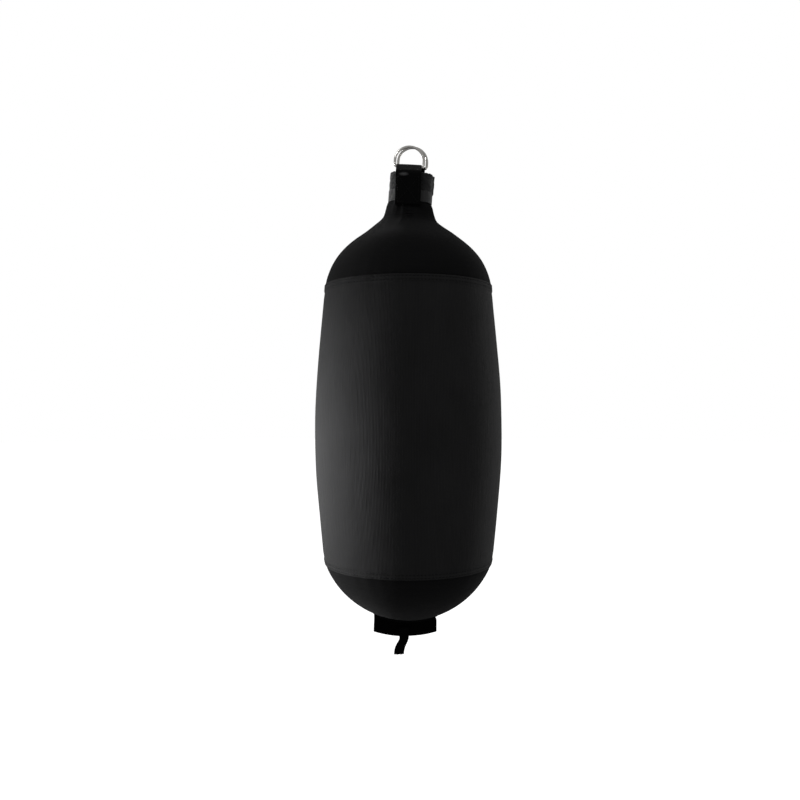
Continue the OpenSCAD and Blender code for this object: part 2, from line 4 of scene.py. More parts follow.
import bpy
import numpy as np
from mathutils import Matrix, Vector


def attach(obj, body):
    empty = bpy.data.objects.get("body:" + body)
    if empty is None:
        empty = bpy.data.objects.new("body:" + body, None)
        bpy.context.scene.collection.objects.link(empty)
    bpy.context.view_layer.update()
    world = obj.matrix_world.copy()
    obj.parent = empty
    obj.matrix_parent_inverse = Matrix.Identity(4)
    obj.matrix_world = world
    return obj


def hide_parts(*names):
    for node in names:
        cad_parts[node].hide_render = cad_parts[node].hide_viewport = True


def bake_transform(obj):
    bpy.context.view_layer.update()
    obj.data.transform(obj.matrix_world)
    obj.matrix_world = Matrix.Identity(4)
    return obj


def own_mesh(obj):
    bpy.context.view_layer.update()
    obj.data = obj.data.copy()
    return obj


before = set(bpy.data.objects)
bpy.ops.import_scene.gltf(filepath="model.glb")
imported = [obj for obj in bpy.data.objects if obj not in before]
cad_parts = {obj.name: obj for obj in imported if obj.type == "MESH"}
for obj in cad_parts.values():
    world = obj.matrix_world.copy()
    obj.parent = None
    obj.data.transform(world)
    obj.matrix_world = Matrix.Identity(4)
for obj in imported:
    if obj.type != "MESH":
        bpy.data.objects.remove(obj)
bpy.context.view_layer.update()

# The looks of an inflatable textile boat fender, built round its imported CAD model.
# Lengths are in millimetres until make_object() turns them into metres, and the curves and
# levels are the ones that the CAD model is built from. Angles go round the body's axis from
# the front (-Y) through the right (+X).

MM = 0.001
TURN = 2 * math.pi


# ---------------------------------------------------------------- levels, as in the CAD model

BODY_X = -3.8
TOP_SEAM_R, BELLY_R, TURN_R = 129.5, 145.0, 132.6
NECK_R, CINCH_R, FOOT_R = 31.0, 32.2, 48.0
NECK_TOP_Z, CINCH_Z, NECK_FOOT_Z, NECK_PIVOT_Z = -42.3, -87.2, -118.6, -125.0
TOP_SEAM_Z, BELLY_Z, TURN_Z, BOTTOM_SEAM_Z, BASE_Z = -217.5, -451.0, -624.5, -646.0, -733.4
NECK_FLATNESS = 20.6 / 31.0      # half depth over half width, where the straps press the neck
NECK_POWER = 2.8                 # how squarish the neck's section is; 2 is an ellipse
NECK_LEAN = math.radians(3.8)
FOOT_SET = 2.0                   # how far the neck's foot sits to the right of the body's axis
FABRIC_T = 1.5
WEB_T = 1.5

MOUTH_X = BODY_X - 4.5
MOUTH_HALF_W, MOUTH_HALF_D = 48.8, 18.6
HINGE_Y = 18.15
FIN_MID_Y = 2.1                  # middle of a closed flap's thickness, from the centre plane
FIN_DROP = 27.6
FIN_EDGE_R = 164.0


def smoothstep(x):
    x = np.clip(x, 0, 1)
    return x * x * (3 - 2 * x)


def bell(x, width):
    """A soft bump, 1 at its middle and about a third at its width."""
    return np.exp(-((x / width) ** 2))


def bezier(a, b, c, d, n=40):
    """Points along a cubic curve, without its last one."""
    t = np.linspace(0, 1, n, endpoint=False)[:, None]
    a, b, c, d = (np.array(p, float) for p in (a, b, c, d))
    return (1 - t) ** 3 * a + 3 * (1 - t) ** 2 * t * b + 3 * (1 - t) * t * t * c + t**3 * d


def arc(centre, r, start, end, n):
    """Points on a circle between two angles in degrees."""
    a = np.radians(np.linspace(start, end, n + 1))
    return np.array(centre, float) + r * np.stack([np.cos(a), np.sin(a)], 1)


def run_length(points):
    return np.concatenate([[0], np.cumsum(np.linalg.norm(np.diff(points, axis=0), axis=1))])


def resample(points, step):
    """The same polyline with points about one step apart."""
    run = run_length(points)
    s = np.linspace(0, run[-1], max(2, round(run[-1] / step) + 1))
    return np.stack([np.interp(s, run, points[:, k]) for k in range(points.shape[1])], 1)


# ---------------------------------------------------------------- the cover's shape

SHOULDER_H = NECK_FOOT_Z - TOP_SEAM_Z
UPPER_H = TOP_SEAM_Z - BELLY_Z
LOWER_H = BELLY_Z - TURN_Z
BASE_H = TURN_Z - BASE_Z


def cover_profile():
    """Radius and height of the cover's outer face, from the neck's top to the pole, 1 mm apart."""
    line = np.vstack([
        bezier((NECK_R, NECK_TOP_Z), (NECK_R, NECK_TOP_Z - 17), (NECK_R + 0.2, CINCH_Z + 13),
               (CINCH_R, CINCH_Z)),
        bezier((CINCH_R, CINCH_Z), (CINCH_R + 5.6, CINCH_Z - 4), (CINCH_R + 4.6, NECK_FOOT_Z + 4),
               (FOOT_R, NECK_FOOT_Z)),
        bezier((FOOT_R, NECK_FOOT_Z), (FOOT_R + 45, NECK_FOOT_Z - 0.34 * SHOULDER_H),
               (TOP_SEAM_R - 11, TOP_SEAM_Z + 0.51 * SHOULDER_H), (TOP_SEAM_R, TOP_SEAM_Z)),
        bezier((TOP_SEAM_R, TOP_SEAM_Z), (TOP_SEAM_R + 9, TOP_SEAM_Z - 0.43 * UPPER_H),
               (BELLY_R, BELLY_Z + 0.34 * UPPER_H), (BELLY_R, BELLY_Z)),
        bezier((BELLY_R, BELLY_Z), (BELLY_R, BELLY_Z - 0.34 * LOWER_H),
               (TURN_R + 7, TURN_Z + 0.46 * LOWER_H), (TURN_R, TURN_Z)),
        bezier((TURN_R, TURN_Z), (TURN_R - 2.6, TURN_Z - 0.51 * BASE_H), (TURN_R / 2, BASE_Z),
               (0, BASE_Z)),
        [(0, BASE_Z)]])
    line = resample(line, 1.0)
    width = 5                                    # rounds the corner at the neck's foot
    kernel = np.exp(-0.5 * (np.arange(-3 * width, 3 * width + 1) / width) ** 2)
    kernel /= kernel.sum()
    padded = np.pad(line, ((3 * width, 3 * width), (0, 0)), mode="edge")
    smooth = np.stack([np.convolve(padded[:, k], kernel, "valid") for k in range(2)], 1)
    near_foot = np.exp(-(((line[:, 1] - NECK_FOOT_Z) / 22) ** 4))[:, None]
    return line + (smooth - line) * near_foot


PROFILE = cover_profile()
RUN = run_length(PROFILE)


def run_at_height(z):
    return np.interp(-np.asarray(z, float), -PROFILE[:, 1], RUN)


def run_at_radius(r):
    """Distance along the profile where the base has that radius."""
    low = RUN > run_at_height(TURN_Z)
    return np.interp(-np.asarray(r, float), -PROFILE[low, 0], RUN[low])


def superellipse(angle, power):
    """Unit half widths of a rounded oblong, as shares along X and -Y."""
    s, c = np.sin(angle), np.cos(angle)
    k = (np.abs(s) ** power + np.abs(c) ** power) ** (-1 / power)
    return k * s, k * c


def once_round(count):
    """Evenly spaced angles, as one row of a grid."""
    return (np.arange(count) * TURN / count)[None, :]


def around(r, angle, z):
    """Points on circles round the body's axis."""
    return np.stack(np.broadcast_arrays(BODY_X + r * np.sin(angle), -r * np.cos(angle), z), -1)


def tilted(x, y, z, angle, pivot_x, pivot_z):
    """Points tipped to the right by an angle, about a line along Y."""
    up = z - pivot_z
    return np.stack(np.broadcast_arrays(
        pivot_x + x * np.cos(angle) + up * np.sin(angle), y,
        pivot_z + up * np.cos(angle) - x * np.sin(angle)), -1)


def lean(x, y, z):
    """Leans the neck: points well above its foot turn about the body's axis."""
    angle = NECK_LEAN * smoothstep((z - NECK_PIVOT_Z + 12) / 26)
    x = x + FOOT_SET * bell(z - NECK_FOOT_Z, 17)
    return tilted(x, y, z, angle, BODY_X, NECK_PIVOT_Z)


settled = {"move": None}         # what the cloth simulation adds, once it has run


def cubic_weights(t):
    return [((-t + 2) * t - 1) * t / 2, ((3 * t - 5) * t * t + 2) / 2,
            ((-3 * t + 4) * t + 1) * t / 2, (t - 1) * t * t / 2]


def settled_move(angle, run):
    """Smooth reading of the simulated movement, which is stored on a grid of runs and angles."""
    grid, first, last = settled["move"], settled["first"], settled["last"]
    rows, cols = grid.shape[:2]
    row = np.clip((run - first) / (last - first), 0, 1) * (rows - 1)
    col = (angle / TURN) % 1 * cols
    i, j = np.floor(row).astype(int), np.floor(col).astype(int)
    move = 0
    for di, wi in zip(range(-1, 3), cubic_weights(row - i)):
        for dj, wj in zip(range(-1, 3), cubic_weights(col - j)):
            move = move + (wi * wj)[..., None] * grid[np.clip(i + di, 0, rows - 1), (j + dj) % cols]
    fade = smoothstep((run - first) / 6) * smoothstep((last - run) / 20)
    return move * fade[..., None]


def section(z):
    """Depth over width of the cover at a height, and how squarish its section is."""
    flat = NECK_FLATNESS + (1 - NECK_FLATNESS) * smoothstep((CINCH_Z - 9.5 - z) / 62)
    return flat, NECK_POWER - (NECK_POWER - 2) * smoothstep((CINCH_Z - z) / 50)


def skin(angle, run):
    """Points on the cover's outer face."""
    angle, run = np.broadcast_arrays(np.asarray(angle, float), np.asarray(run, float))
    r, z = np.interp(run, RUN, PROFILE[:, 0]), np.interp(run, RUN, PROFILE[:, 1])
    flat, power = section(z)
    across, ahead = superellipse(angle, power)
    points = lean(r * across, -r * flat * ahead, z)
    if settled["move"] is not None:
        points = points + settled_move(angle, run)
    return points


def skin_normal(angle, run):
    """Outward directions on the cover's outer face."""
    da, ds = 0.002, 0.4
    round_it = skin(angle + da, run) - skin(angle - da, run)
    down = skin(angle, run + ds) - skin(angle, run - ds)
    n = np.cross(down, round_it)
    return n / np.linalg.norm(n, axis=-1, keepdims=True)


def raised(angle, run, height):
    """Points at a height over the cover's outer face, or under it where that is negative."""
    return skin(angle, run) + skin_normal(angle, run) * np.asarray(height)[..., None]


def base_place(x, y):
    """Angle and run of the point of the base that lies over (x, y)."""
    return np.arctan2(x - BODY_X, -y), run_at_radius(np.hypot(x - BODY_X, y))


# ---------------------------------------------------------------- mesh building

def make_object(name, points, faces, uv):
    """A smooth-shaded mesh of quads, with a UV map in millimetres of cloth."""
    faces = np.asarray(faces, np.int32)
    mesh = bpy.data.meshes.new(name)
    mesh.vertices.add(len(points))
    mesh.vertices.foreach_set("co", (np.asarray(points) * MM).astype(np.float32).ravel())
    mesh.loops.add(faces.size)
    mesh.loops.foreach_set("vertex_index", faces.ravel())
    mesh.polygons.add(len(faces))
    mesh.polygons.foreach_set("loop_start", np.arange(0, faces.size, 4, dtype=np.int32))
    mesh.update(calc_edges=True)
    mesh.polygons.foreach_set("use_smooth", np.ones(len(faces), bool))
    layer = mesh.uv_layers.new(name="Cloth")
    layer.uv.foreach_set("vector", np.asarray(uv, np.float32).ravel())
    mesh.validate()
    mesh.update()
    made = bpy.data.objects.new(name, mesh)
    bpy.context.scene.collection.objects.link(made)
    return made


def join(parts):
    """One set of points, faces and UVs from several."""
    points, faces, uv, count = [], [], [], 0
    for p, f, t in parts:
        points.append(p)
        faces.append(np.asarray(f) + count)
        uv.append(np.asarray(t).reshape(-1, 2))
        count += len(p)
    return np.vstack(points), np.vstack(faces), np.vstack(uv)


def quads(rows, cols, wrap):
    """Quads of a grid of points, and the grid place of each corner."""
    i, j = np.meshgrid(np.arange(rows - 1), np.arange(cols if wrap else cols - 1), indexing="ij")
    i, j = i.ravel(), j.ravel()
    corners = [(i, j), (i + 1, j), (i + 1, j + 1), (i, j + 1)]
    faces = np.stack([a * cols + b % cols for a, b in corners], 1)
    places = np.stack([np.stack([a, b], 1) for a, b in corners], 1)
    return faces, places


def closed_rows(rows, cols, u, v, joined=False):
    """Faces and UVs of a grid whose rows are closed loops. Its first and last rows are joined to
    each other, or each is closed with a fan."""
    faces, places = quads(rows, cols, True)
    uv = np.stack([u[places[..., 1]], v[places[..., 0]]], -1)
    start = (rows - 1) * cols
    if joined:
        j = np.arange(cols)
        k = (j + 1) % cols
        ends = np.stack([start + j, j, k, start + k], 1)
    else:
        fan = np.array([(0, k, k + 1, k + 2) for k in range(1, cols - 2, 2)])
        ends = np.vstack([fan, start + fan[:, ::-1]])
    return np.vstack([faces, ends]), np.vstack([uv, np.zeros((len(ends), 4, 2))])


def grid_normals(grid, wrap):
    down = np.gradient(grid, axis=0)
    if wrap:
        along = np.roll(grid, -1, 1) - np.roll(grid, 1, 1)
    else:
        along = np.gradient(grid, axis=1)
    n = np.cross(down, along)
    return n / np.maximum(np.linalg.norm(n, axis=-1, keepdims=True), 1e-9)


def lengths_along(grid, axis):
    """Length of cloth along the middle of a grid, at each of its rows or columns."""
    middle = grid.shape[1 - axis] // 2
    return run_length(grid[:, middle] if axis == 0 else grid[middle])


EDGE_STEPS = (38.0, 66.0, 84.0)          # angles of the points that round a sheet's edge


def rounded(grid, thickness, axis):
    """A grid with rows (axis 0) or columns (axis 1) added past both ends, and thinner there."""
    grid, thickness = np.moveaxis(grid, axis, 0), np.moveaxis(thickness, axis, 0)
    ends = []
    for at, inner in ((0, 1), (-1, -2)):
        out = grid[at] - grid[inner]
        out = out / np.maximum(np.linalg.norm(out, axis=-1, keepdims=True), 1e-9)
        half = thickness[at] / 2
        rows = [(grid[at] + out * (half * math.sin(math.radians(a)))[..., None],
                 thickness[at] * math.cos(math.radians(a))) for a in EDGE_STEPS]
        ends.append(rows[::-1] if at == 0 else rows)
    both = []
    for k, middle in enumerate((grid, thickness)):
        joined = np.concatenate([[row[k] for row in ends[0]], middle, [row[k] for row in ends[1]]])
        both.append(np.moveaxis(joined, 0, axis))
    return both


def sheet_parts(grid, thickness, wrap=False, above=0.5, relief=0, under=0, ribs=None):
    """A closed sheet with rounded edges. above is the share of its thickness on the outer side
    of the grid, relief and under raise its outer and inner faces, and ribs raise both."""
    if ribs is not None:
        relief = under = ribs
    thickness = np.broadcast_to(np.asarray(thickness, float), grid.shape[:2]).copy()
    normals = grid_normals(grid, wrap)
    middle = grid + normals * (thickness * (above - 0.5))[..., None]
    extra = len(EDGE_STEPS)
    middle, t = rounded(middle, thickness, 0)
    if not wrap:
        middle, t = rounded(middle, t, 1)
    side_pad = (0, 0) if wrap else (extra, extra)
    normals = np.pad(normals, ((extra, extra), side_pad, (0, 0)), mode="edge")

    def spread(height):
        """A relief carried over the rounded edges, where it fades out."""
        height = np.broadcast_to(height, grid.shape[:2])
        return np.pad(height, ((extra, extra), side_pad), mode="edge") * np.clip(t / t.max(), 0, 1)

    top = middle + normals * (t / 2 + spread(relief))[..., None]
    bottom = middle - normals * (t / 2 + spread(under))[..., None]
    rows, cols = t.shape
    u, v = lengths_along(middle, 1), lengths_along(middle, 0)
    if wrap:
        closing = np.linalg.norm(middle[rows // 2, 0] - middle[rows // 2, -1])
        u = np.append(u, u[-1] + closing)
    size = rows * cols
    faces, places = quads(rows, cols, wrap)
    uv = np.stack([u[places[..., 1]], v[places[..., 0]]], -1)
    all_faces, all_uv = [faces, faces[:, ::-1] + size], [uv, uv[:, ::-1]]

    def edge(line, flip):
        """Quads from the outer face's border to the inner face's."""
        pairs = [(line[k], line[k + 1]) for k in range(len(line) - 1)]
        strip = np.array([(a[0] * cols + a[1] % cols, a[0] * cols + a[1] % cols + size,
                           b[0] * cols + b[1] % cols + size, b[0] * cols + b[1] % cols)
                          for a, b in pairs])
        marks = np.array([[(u[a[1]], v[a[0]])] * 2 + [(u[b[1]], v[b[0]])] * 2 for a, b in pairs])
        all_faces.append(strip[:, ::-1] if flip else strip)
        all_uv.append(marks[:, ::-1] if flip else marks)

    last = cols if wrap else cols - 1
    edge([(0, j) for j in range(last + 1)], True)
    edge([(rows - 1, j) for j in range(last + 1)], False)
    if not wrap:
        edge([(i, 0) for i in range(rows)], False)
        edge([(i, cols - 1) for i in range(rows)], True)
    points = np.vstack([top.reshape(-1, 3), bottom.reshape(-1, 3)])
    return points, np.vstack(all_faces), np.vstack(all_uv).reshape(-1, 2)


def tube_parts(line, radius, sides=8, closed=False, up=(0.31, 0.42, 0.85)):
    """A round bar along a line of points, with flat ends unless it is closed."""
    line = np.asarray(line, float)
    radius = np.broadcast_to(np.asarray(radius, float), len(line))
    ahead = np.roll(line, -1, 0) - np.roll(line, 1, 0) if closed else np.gradient(line, axis=0)
    ahead /= np.maximum(np.linalg.norm(ahead, axis=1, keepdims=True), 1e-9)
    side = np.empty_like(line)
    last = np.cross(ahead[0], up)
    for k, direction in enumerate(ahead):
        last = last - direction * last.dot(direction)
        last = last / np.linalg.norm(last)
        side[k] = last
    other = np.cross(ahead, side)
    a = once_round(sides)[..., None]
    ring = np.cos(a) * side[:, None] + np.sin(a) * other[:, None]
    points = (line[:, None] + ring * radius[:, None, None]).reshape(-1, 3)
    u = np.arange(sides + 1) * radius.max() * TURN / sides
    faces, uv = closed_rows(len(line), sides, u, run_length(line), closed)
    return points, faces[:, ::-1], uv[:, ::-1].reshape(-1, 2)


def loft_parts(rings):
    """A closed solid through rings of points."""
    rings = np.asarray(rings)
    rows, cols = rings.shape[:2]
    u, v = lengths_along(rings, 1), lengths_along(rings, 0)
    u = np.append(u, u[-1] + np.linalg.norm(rings[rows // 2, 0] - rings[rows // 2, -1]))
    faces, uv = closed_rows(rows, cols, u, v)
    return rings.reshape(-1, 3), faces, uv.reshape(-1, 2)


STITCH_SHARES = np.array([0.6, 1, 1, 1, 0.6])            # of the thread's radius, along a stitch
STITCH_ARCH = np.array([-0.35, 0.12, 0.24, 0.12, -0.35])


def stitches(line, normals, length, gap, radius):
    """Separate stitches along a line of points, each one sunk into the cloth at both ends."""
    normals = np.broadcast_to(normals, line.shape)
    run = run_length(line)
    count = max(1, int(run[-1] / (length + gap)))
    pitch = run[-1] / count
    parts = []
    for k in range(count):
        s = (k + 0.5) * pitch + np.linspace(-0.5, 0.5, len(STITCH_ARCH)) * length
        at, out = (np.stack([np.interp(s, run, values[:, c]) for c in range(3)], 1)
                   for values in (line, normals))
        parts.append(tube_parts(at + out * STITCH_ARCH[:, None], radius * STITCH_SHARES, 6,
                                up=out[2]))
    return parts


def build(name, parts, slot, node, body="fender", look=None):
    """An object that shows a CAD node. It moves with a body, when one is given, and has its slot's
    material, unless it has a look of its own."""
    made = make_object(name, *join(parts))
    made.data.materials.append(MATERIALS[look or slot])
    if body:
        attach(made, body)
    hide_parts(node)
    return made


def sew(name, rows, stitch, node, body="fender"):
    """Thread along rows, each of which is a line of points and the way out of the cloth there.
    A stitch is its length, the gap after it and its radius."""
    parts = [part for line, out in rows for part in stitches(line, out, *stitch)]
    return build(name, parts, "thread", node, body)


def wobble(seed, count, low, high, closed=False):
    """A few random waves, for a shape that nothing holds quite straight. Closed waves come out
    the same after a full turn."""
    rng = random.Random(seed)
    pick = rng.randint if closed else rng.uniform
    waves = [(pick(low, high), rng.uniform(0, TURN)) for _ in range(count)]

    def value(x):
        return sum(np.sin(np.asarray(x) * f + p) for f, p in waves) / math.sqrt(count)
    return value


# ---------------------------------------------------------------- materials

class Nodes:
    """A node tree, with short ways to add the nodes that the materials share."""

    def __init__(self, owner):
        owner.use_nodes = True
        self.tree = owner.node_tree
        self.tree.nodes.clear()

    def put(self, socket, value):
        """Gives a socket a link or a value. A colour's alpha is 1."""
        if isinstance(value, bpy.types.NodeSocket):
            self.tree.links.new(value, socket)
        elif value is not None:
            socket.default_value = (*value, 1) if socket.type == "RGBA" else value

    def node(self, kind, *values, **named):
        """Adds a node and gives its outputs. Values go to its inputs in order, and named ones to
        an input if the name has a capital, or else to a setting."""
        made = self.tree.nodes.new("ShaderNode" + kind)
        for name, value in named.items():
            if name[0].isupper():
                self.put(made.inputs[name.replace("_", " ")], value)
            else:
                setattr(made, name, value)
        for socket, value in zip(made.inputs, values):
            self.put(socket, value)
        return made.outputs

    def math(self, operation, *values):
        return self.node("Math", *values, operation=operation)[0]

    def sway(self, value, amount, base):
        """Moves base up or down as value lies over or under a half."""
        return self.math("MULTIPLY_ADD", self.math("SUBTRACT", value, 0.5), amount, base)

    def bars(self, place, pitch):
        """Round-topped bars, from 0 to 1, one for each pitch."""
        phase = self.math("MULTIPLY", place, math.pi / pitch)
        return self.math("ABSOLUTE", self.math("SINE", phase))

    def cloth(self):
        """Millimetres of cloth, across and along."""
        return self.node("SeparateXYZ", self.node("UVMap", uv_map="Cloth")[0])[:2]

    def space(self, scale=(1, 1, 1)):
        """Millimetres in the object's own space, stretched."""
        return self.node("Mapping", Vector=self.node("TexCoord")["Object"],
                         Scale=[s / MM for s in scale])[0]

    def point(self, x, y, x_size, y_size):
        """A point from two coordinates, each in sizes of its own."""
        return self.node("CombineXYZ", self.math("DIVIDE", x, x_size),
                         self.math("DIVIDE", y, y_size))[0]

    def noise(self, vector, scale, detail=3.0, roughness=0.55):
        return self.node("TexNoise", Vector=vector, Scale=scale, Detail=detail,
                         Roughness=roughness)[0]

    def range(self, value, low, high, to_low, to_high):
        return self.node("MapRange", value, low, high, to_low, to_high)[0]

    def tint(self, share, low, high):
        """A colour between two, by a share from 0 to 1."""
        other_types = [None] * 5
        return self.node("Mix", share, *other_types, low, high, data_type="RGBA")[2]


class Shader(Nodes):
    """A material with one Principled surface."""

    def __init__(self, name, colour, roughness, **sockets):
        self.material = bpy.data.materials.new(name)
        super().__init__(self.material)
        self.surface = self.tree.nodes.new("ShaderNodeBsdfPrincipled")
        self.node("OutputMaterial", self.surface.outputs[0])
        self.set(Base_Color=colour, Roughness=roughness, **sockets)
        self.colour, self.normal = colour, None

    def set(self, **sockets):
        for name, value in sockets.items():
            self.put(self.surface.inputs[name.replace("_", " ")], value)

    def tone(self, share, low, high):
        """Takes the surface between two shades of its colour, by a share from 0 to 1."""
        shades = ([min(1, c * factor) for c in self.colour] for factor in (low, high))
        self.set(Base_Color=self.tint(share, *shades))

    def patch(self, middle, half_sizes, glint_colour):
        """Painted highlight: lightens a soft-edged patch round a point of object space, in
        millimetres.
        """
        away = self.node("VectorMath", self.space([1 / size for size in half_sizes]),
                         [at / size for at, size in zip(middle, half_sizes)],
                         operation="DISTANCE")["Value"]
        uneven = self.math("MULTIPLY_ADD", self.noise(self.space(), 0.8, 3.0), 0.9, away)
        before = self.surface.inputs["Base Color"].links[0].from_socket
        self.set(Base_Color=self.tint(self.range(uneven, 0.7, 1.6, 1, 0), before, glint_colour))

    def bump(self, height, distance):
        """Adds relief of that many millimetres where height goes from 0 to 1."""
        self.normal = self.node("Bump", Height=height, Distance=distance * MM, Strength=1.0,
                                Normal=self.normal)[0]
        self.set(Normal=self.normal)


def woven(name, colour, rib, pick, relief, roughness, streak, sheen, specular, across=False,
          glint_patch=None):
    """Cloth with ribs along it and threads over and under across it, streaks from uneven yarn,
    and a slow change of tone. glint_patch is the middle and half sizes of a painted highlight."""
    m = Shader(name, colour, roughness, Sheen_Weight=sheen, Sheen_Roughness=0.45,
               Specular_IOR_Level=specular)
    u, v = m.cloth()
    if across:
        u, v = v, u
    column = m.math("FLOOR", m.math("DIVIDE", u, rib))
    phase = m.math("MULTIPLY_ADD", column, math.pi, m.math("MULTIPLY", v, TURN / pick))
    picks = m.math("MULTIPLY_ADD", m.math("SINE", phase), 0.5, 0.5)
    weave = m.math("MULTIPLY", m.bars(u, rib), m.math("MULTIPLY_ADD", picks, 0.45, 0.55))
    yarn = m.noise(m.point(u, v, rib, rib * 22), 1.0, 4.0)
    slow = m.noise(m.point(u, v, 60, 90), 1.0)
    slow_change = m.sway(slow, 0.5, 0.5)
    m.tone(m.sway(weave, 0.35, m.sway(yarn, streak * 2, slow_change)), 0.45, 1.55)
    m.set(Roughness=m.range(weave, 0, 1, min(1, roughness + 0.12), roughness - 0.05))
    # a painted highlight: a lighter spot mixed into the cloth's colour
    if glint_patch:
        m.patch(*glint_patch, PAINTED_GLINT_GREY)
    m.bump(weave, relief)
    m.bump(yarn, relief * 1.5)
    return m.material


def brushed_pile(name, colour, relief):
    """Looped or brushed pile with no direction."""
    m = Shader(name, colour, 0.95, Sheen_Weight=0.24, Sheen_Roughness=0.5, Specular_IOR_Level=0.02)
    fine = m.noise(m.space(), 1.6, 5.0, 0.7)
    clumps = m.noise(m.space(), 0.28, 4.0, 0.6)
    m.tone(m.range(fine, 0.3, 0.7, 0, 1), 0.4, 1.6)
    m.bump(fine, relief)
    m.bump(clumps, relief * 2)
    return m.material


def hooks(name, colour):
    """Moulded hooks in close rows."""
    m = Shader(name, colour, 0.55, Specular_IOR_Level=0.3)
    u, v = m.cloth()
    height = m.math("MULTIPLY", m.bars(u, 1.1), m.bars(v, 0.9))
    m.tone(height, 0.5, 1.7)
    m.bump(height, 0.6)
    m.bump(m.noise(m.space(), 0.9, 3.0), 0.2)
    return m.material


def thread(name, colour):
    """Twisted sewing thread."""
    m = Shader(name, colour, 0.6, Sheen_Weight=0.02, Specular_IOR_Level=0.04)
    u, v = m.cloth()
    twist = m.math("SINE", m.math("MULTIPLY_ADD", v, TURN / 0.7, m.math("MULTIPLY", u, 2.2)))
    share = m.math("MULTIPLY_ADD", twist, 0.5, 0.5)
    m.tone(share, 0.5, 1.6)
    m.bump(share, 0.12)
    return m.material


def polished_steel(name):
    """Polished stainless steel with fine scratches and faint smudges."""
    m = Shader(name, (0.52, 0.505, 0.48), 0.2, Metallic=1.0)
    scratches = m.noise(m.space((0.25, 4.0, 4.0)), 1.4, 5.0, 0.65)
    smudge = m.noise(m.space(), 0.13, 3.0)
    m.set(Base_Color=m.tint(scratches, (0.42, 0.41, 0.39), (0.60, 0.585, 0.56)),
          Roughness=m.range(smudge, 0.3, 0.75, 0.14, 0.3))
    m.bump(scratches, 0.012)
    return m.material


def moulded(name, colour, roughness, grain=0.05, scale=1.8):
    """Moulded plastic or rubber with a fine spark texture and a slight sink in thick places."""
    m = Shader(name, colour, roughness, Specular_IOR_Level=0.45)
    fine = m.noise(m.space(), scale, 3.0, 0.6)
    sink = m.noise(m.space(), 0.08, 2.0)
    m.tone(fine, 0.8, 1.25)
    m.set(Roughness=m.range(sink, 0.3, 0.7, roughness - 0.06, min(1, roughness + 0.08)))
    m.bump(fine, grain)
    m.bump(sink, 0.3)
    return m.material


def welded_film(name, colour):
    """Milky polyurethane film with a soft gloss and faint creases."""
    m = Shader(name, colour, 0.38, Coat_Weight=0.3, Coat_Roughness=0.3, Subsurface_Weight=0.15,
               Subsurface_Radius=(0.004, 0.004, 0.003), Subsurface_Scale=1.0,
               Specular_IOR_Level=0.5)
    creases = m.noise(m.space((1, 1, 0.35)), 0.09, 6.0, 0.6)
    haze = m.noise(m.space(), 0.6, 3.0)
    m.tone(creases, 0.82, 1.1)
    m.set(Roughness=m.range(haze, 0.3, 0.7, 0.3, 0.5))
    m.bump(creases, 0.8)
    m.bump(haze, 0.05)
    return m.material


def foam(name, colour):
    """Closed-cell foam."""
    m = Shader(name, colour, 0.9, Sheen_Weight=0.15)
    cells = m.node("TexVoronoi", Vector=m.space(), Scale=1.3)[0]
    m.tone(cells, 1.3, 0.6)
    m.bump(cells, 0.3)
    m.bump(m.noise(m.space(), 0.25, 3.0), 0.3)
    return m.material


BODY_BLACK, PANEL_BLACK = (0.0112, 0.0112, 0.0115), (0.0046, 0.0046, 0.0048)
WEB_BLACK, FLAP_BLACK = (0.0009, 0.0009, 0.0010), (0.0008, 0.0008, 0.0009)
# Painted highlight: the lighter grey at the end of the next line and the spot on the line after it
# lighten the front strap's colour just below its bend.
WEB_GREY, PAINTED_GLINT_GREY = (0.024, 0.024, 0.0245), (0.055, 0.055, 0.056)
PAINTED_GLINT = ((-11.1, -26.5, -47.3), (7.5, 30.0, 2.8))   # on the front strap, below the neck's edge

MATERIALS = {
    "cover_fabric": woven("body_fabric", BODY_BLACK, 2.2, 1.5, 0.30, 0.8, streak=0.2, sheen=0.06,
                          specular=0.04),
    "panel_fabric": woven("panel_fabric", PANEL_BLACK, 1.6, 1.6, 0.22, 0.85, streak=0.22,
                          sheen=0.02, specular=0.02, across=True),
    "flap_fabric": woven("flap_fabric", FLAP_BLACK, 1.6, 1.6, 0.22, 0.8, streak=0.3, sheen=0.01,
                         specular=0.01, across=True),
    # the webbing's colour carries the painted highlight on the front strap
    "webbing": woven("webbing", WEB_BLACK, 1.25, 2.4, 0.25, 0.42, streak=0.25, sheen=0.0,
                     specular=0.03, glint_patch=PAINTED_GLINT),
    "tab_webbing": woven("tab_webbing", FLAP_BLACK, 1.1, 2.2, 0.25, 0.5, streak=0.3, sheen=0.0,
                         specular=0.015),
    "grey_webbing": woven("grey_webbing", WEB_GREY, 1.1, 2.0, 0.25, 0.5, streak=0.4, sheen=0.06,
                          specular=0.12),
    "loop_fabric": brushed_pile("loop_pile", (0.0075, 0.0075, 0.0078), 0.45),
    "hook_fabric": hooks("hook_strip", (0.008, 0.008, 0.0085)),
    "thread": thread("thread", (0.0035, 0.0035, 0.0037)),
    "steel": polished_steel("polished_steel"),
    "spring_steel": polished_steel("spring_steel"),
    "film": welded_film("bladder_film", (0.62, 0.61, 0.55)),
    "valve_plastic": moulded("valve_plastic", (0.022, 0.022, 0.024), 0.42),
    "rubber": moulded("soft_rubber", (0.014, 0.014, 0.014), 0.6, grain=0.03, scale=2.5),
    "foam": foam("core_foam", (0.05, 0.05, 0.052)),
}


# ---------------------------------------------------------------- cloth simulation of the cover

BAND_FOOT = float(run_at_height(CINCH_Z + 0.3))
TOP_SEAM, BOTTOM_SEAM = float(run_at_height(TOP_SEAM_Z)), float(run_at_height(BOTTOM_SEAM_Z))
SIM_FIRST = BAND_FOOT - 4
SIM_LAST = float(run_at_radius(16))
SIM_COLS, SIM_STEP = 144, 6.0
MOVE_CAP = 2.2                   # how far the cloth may move from the CAD's shape


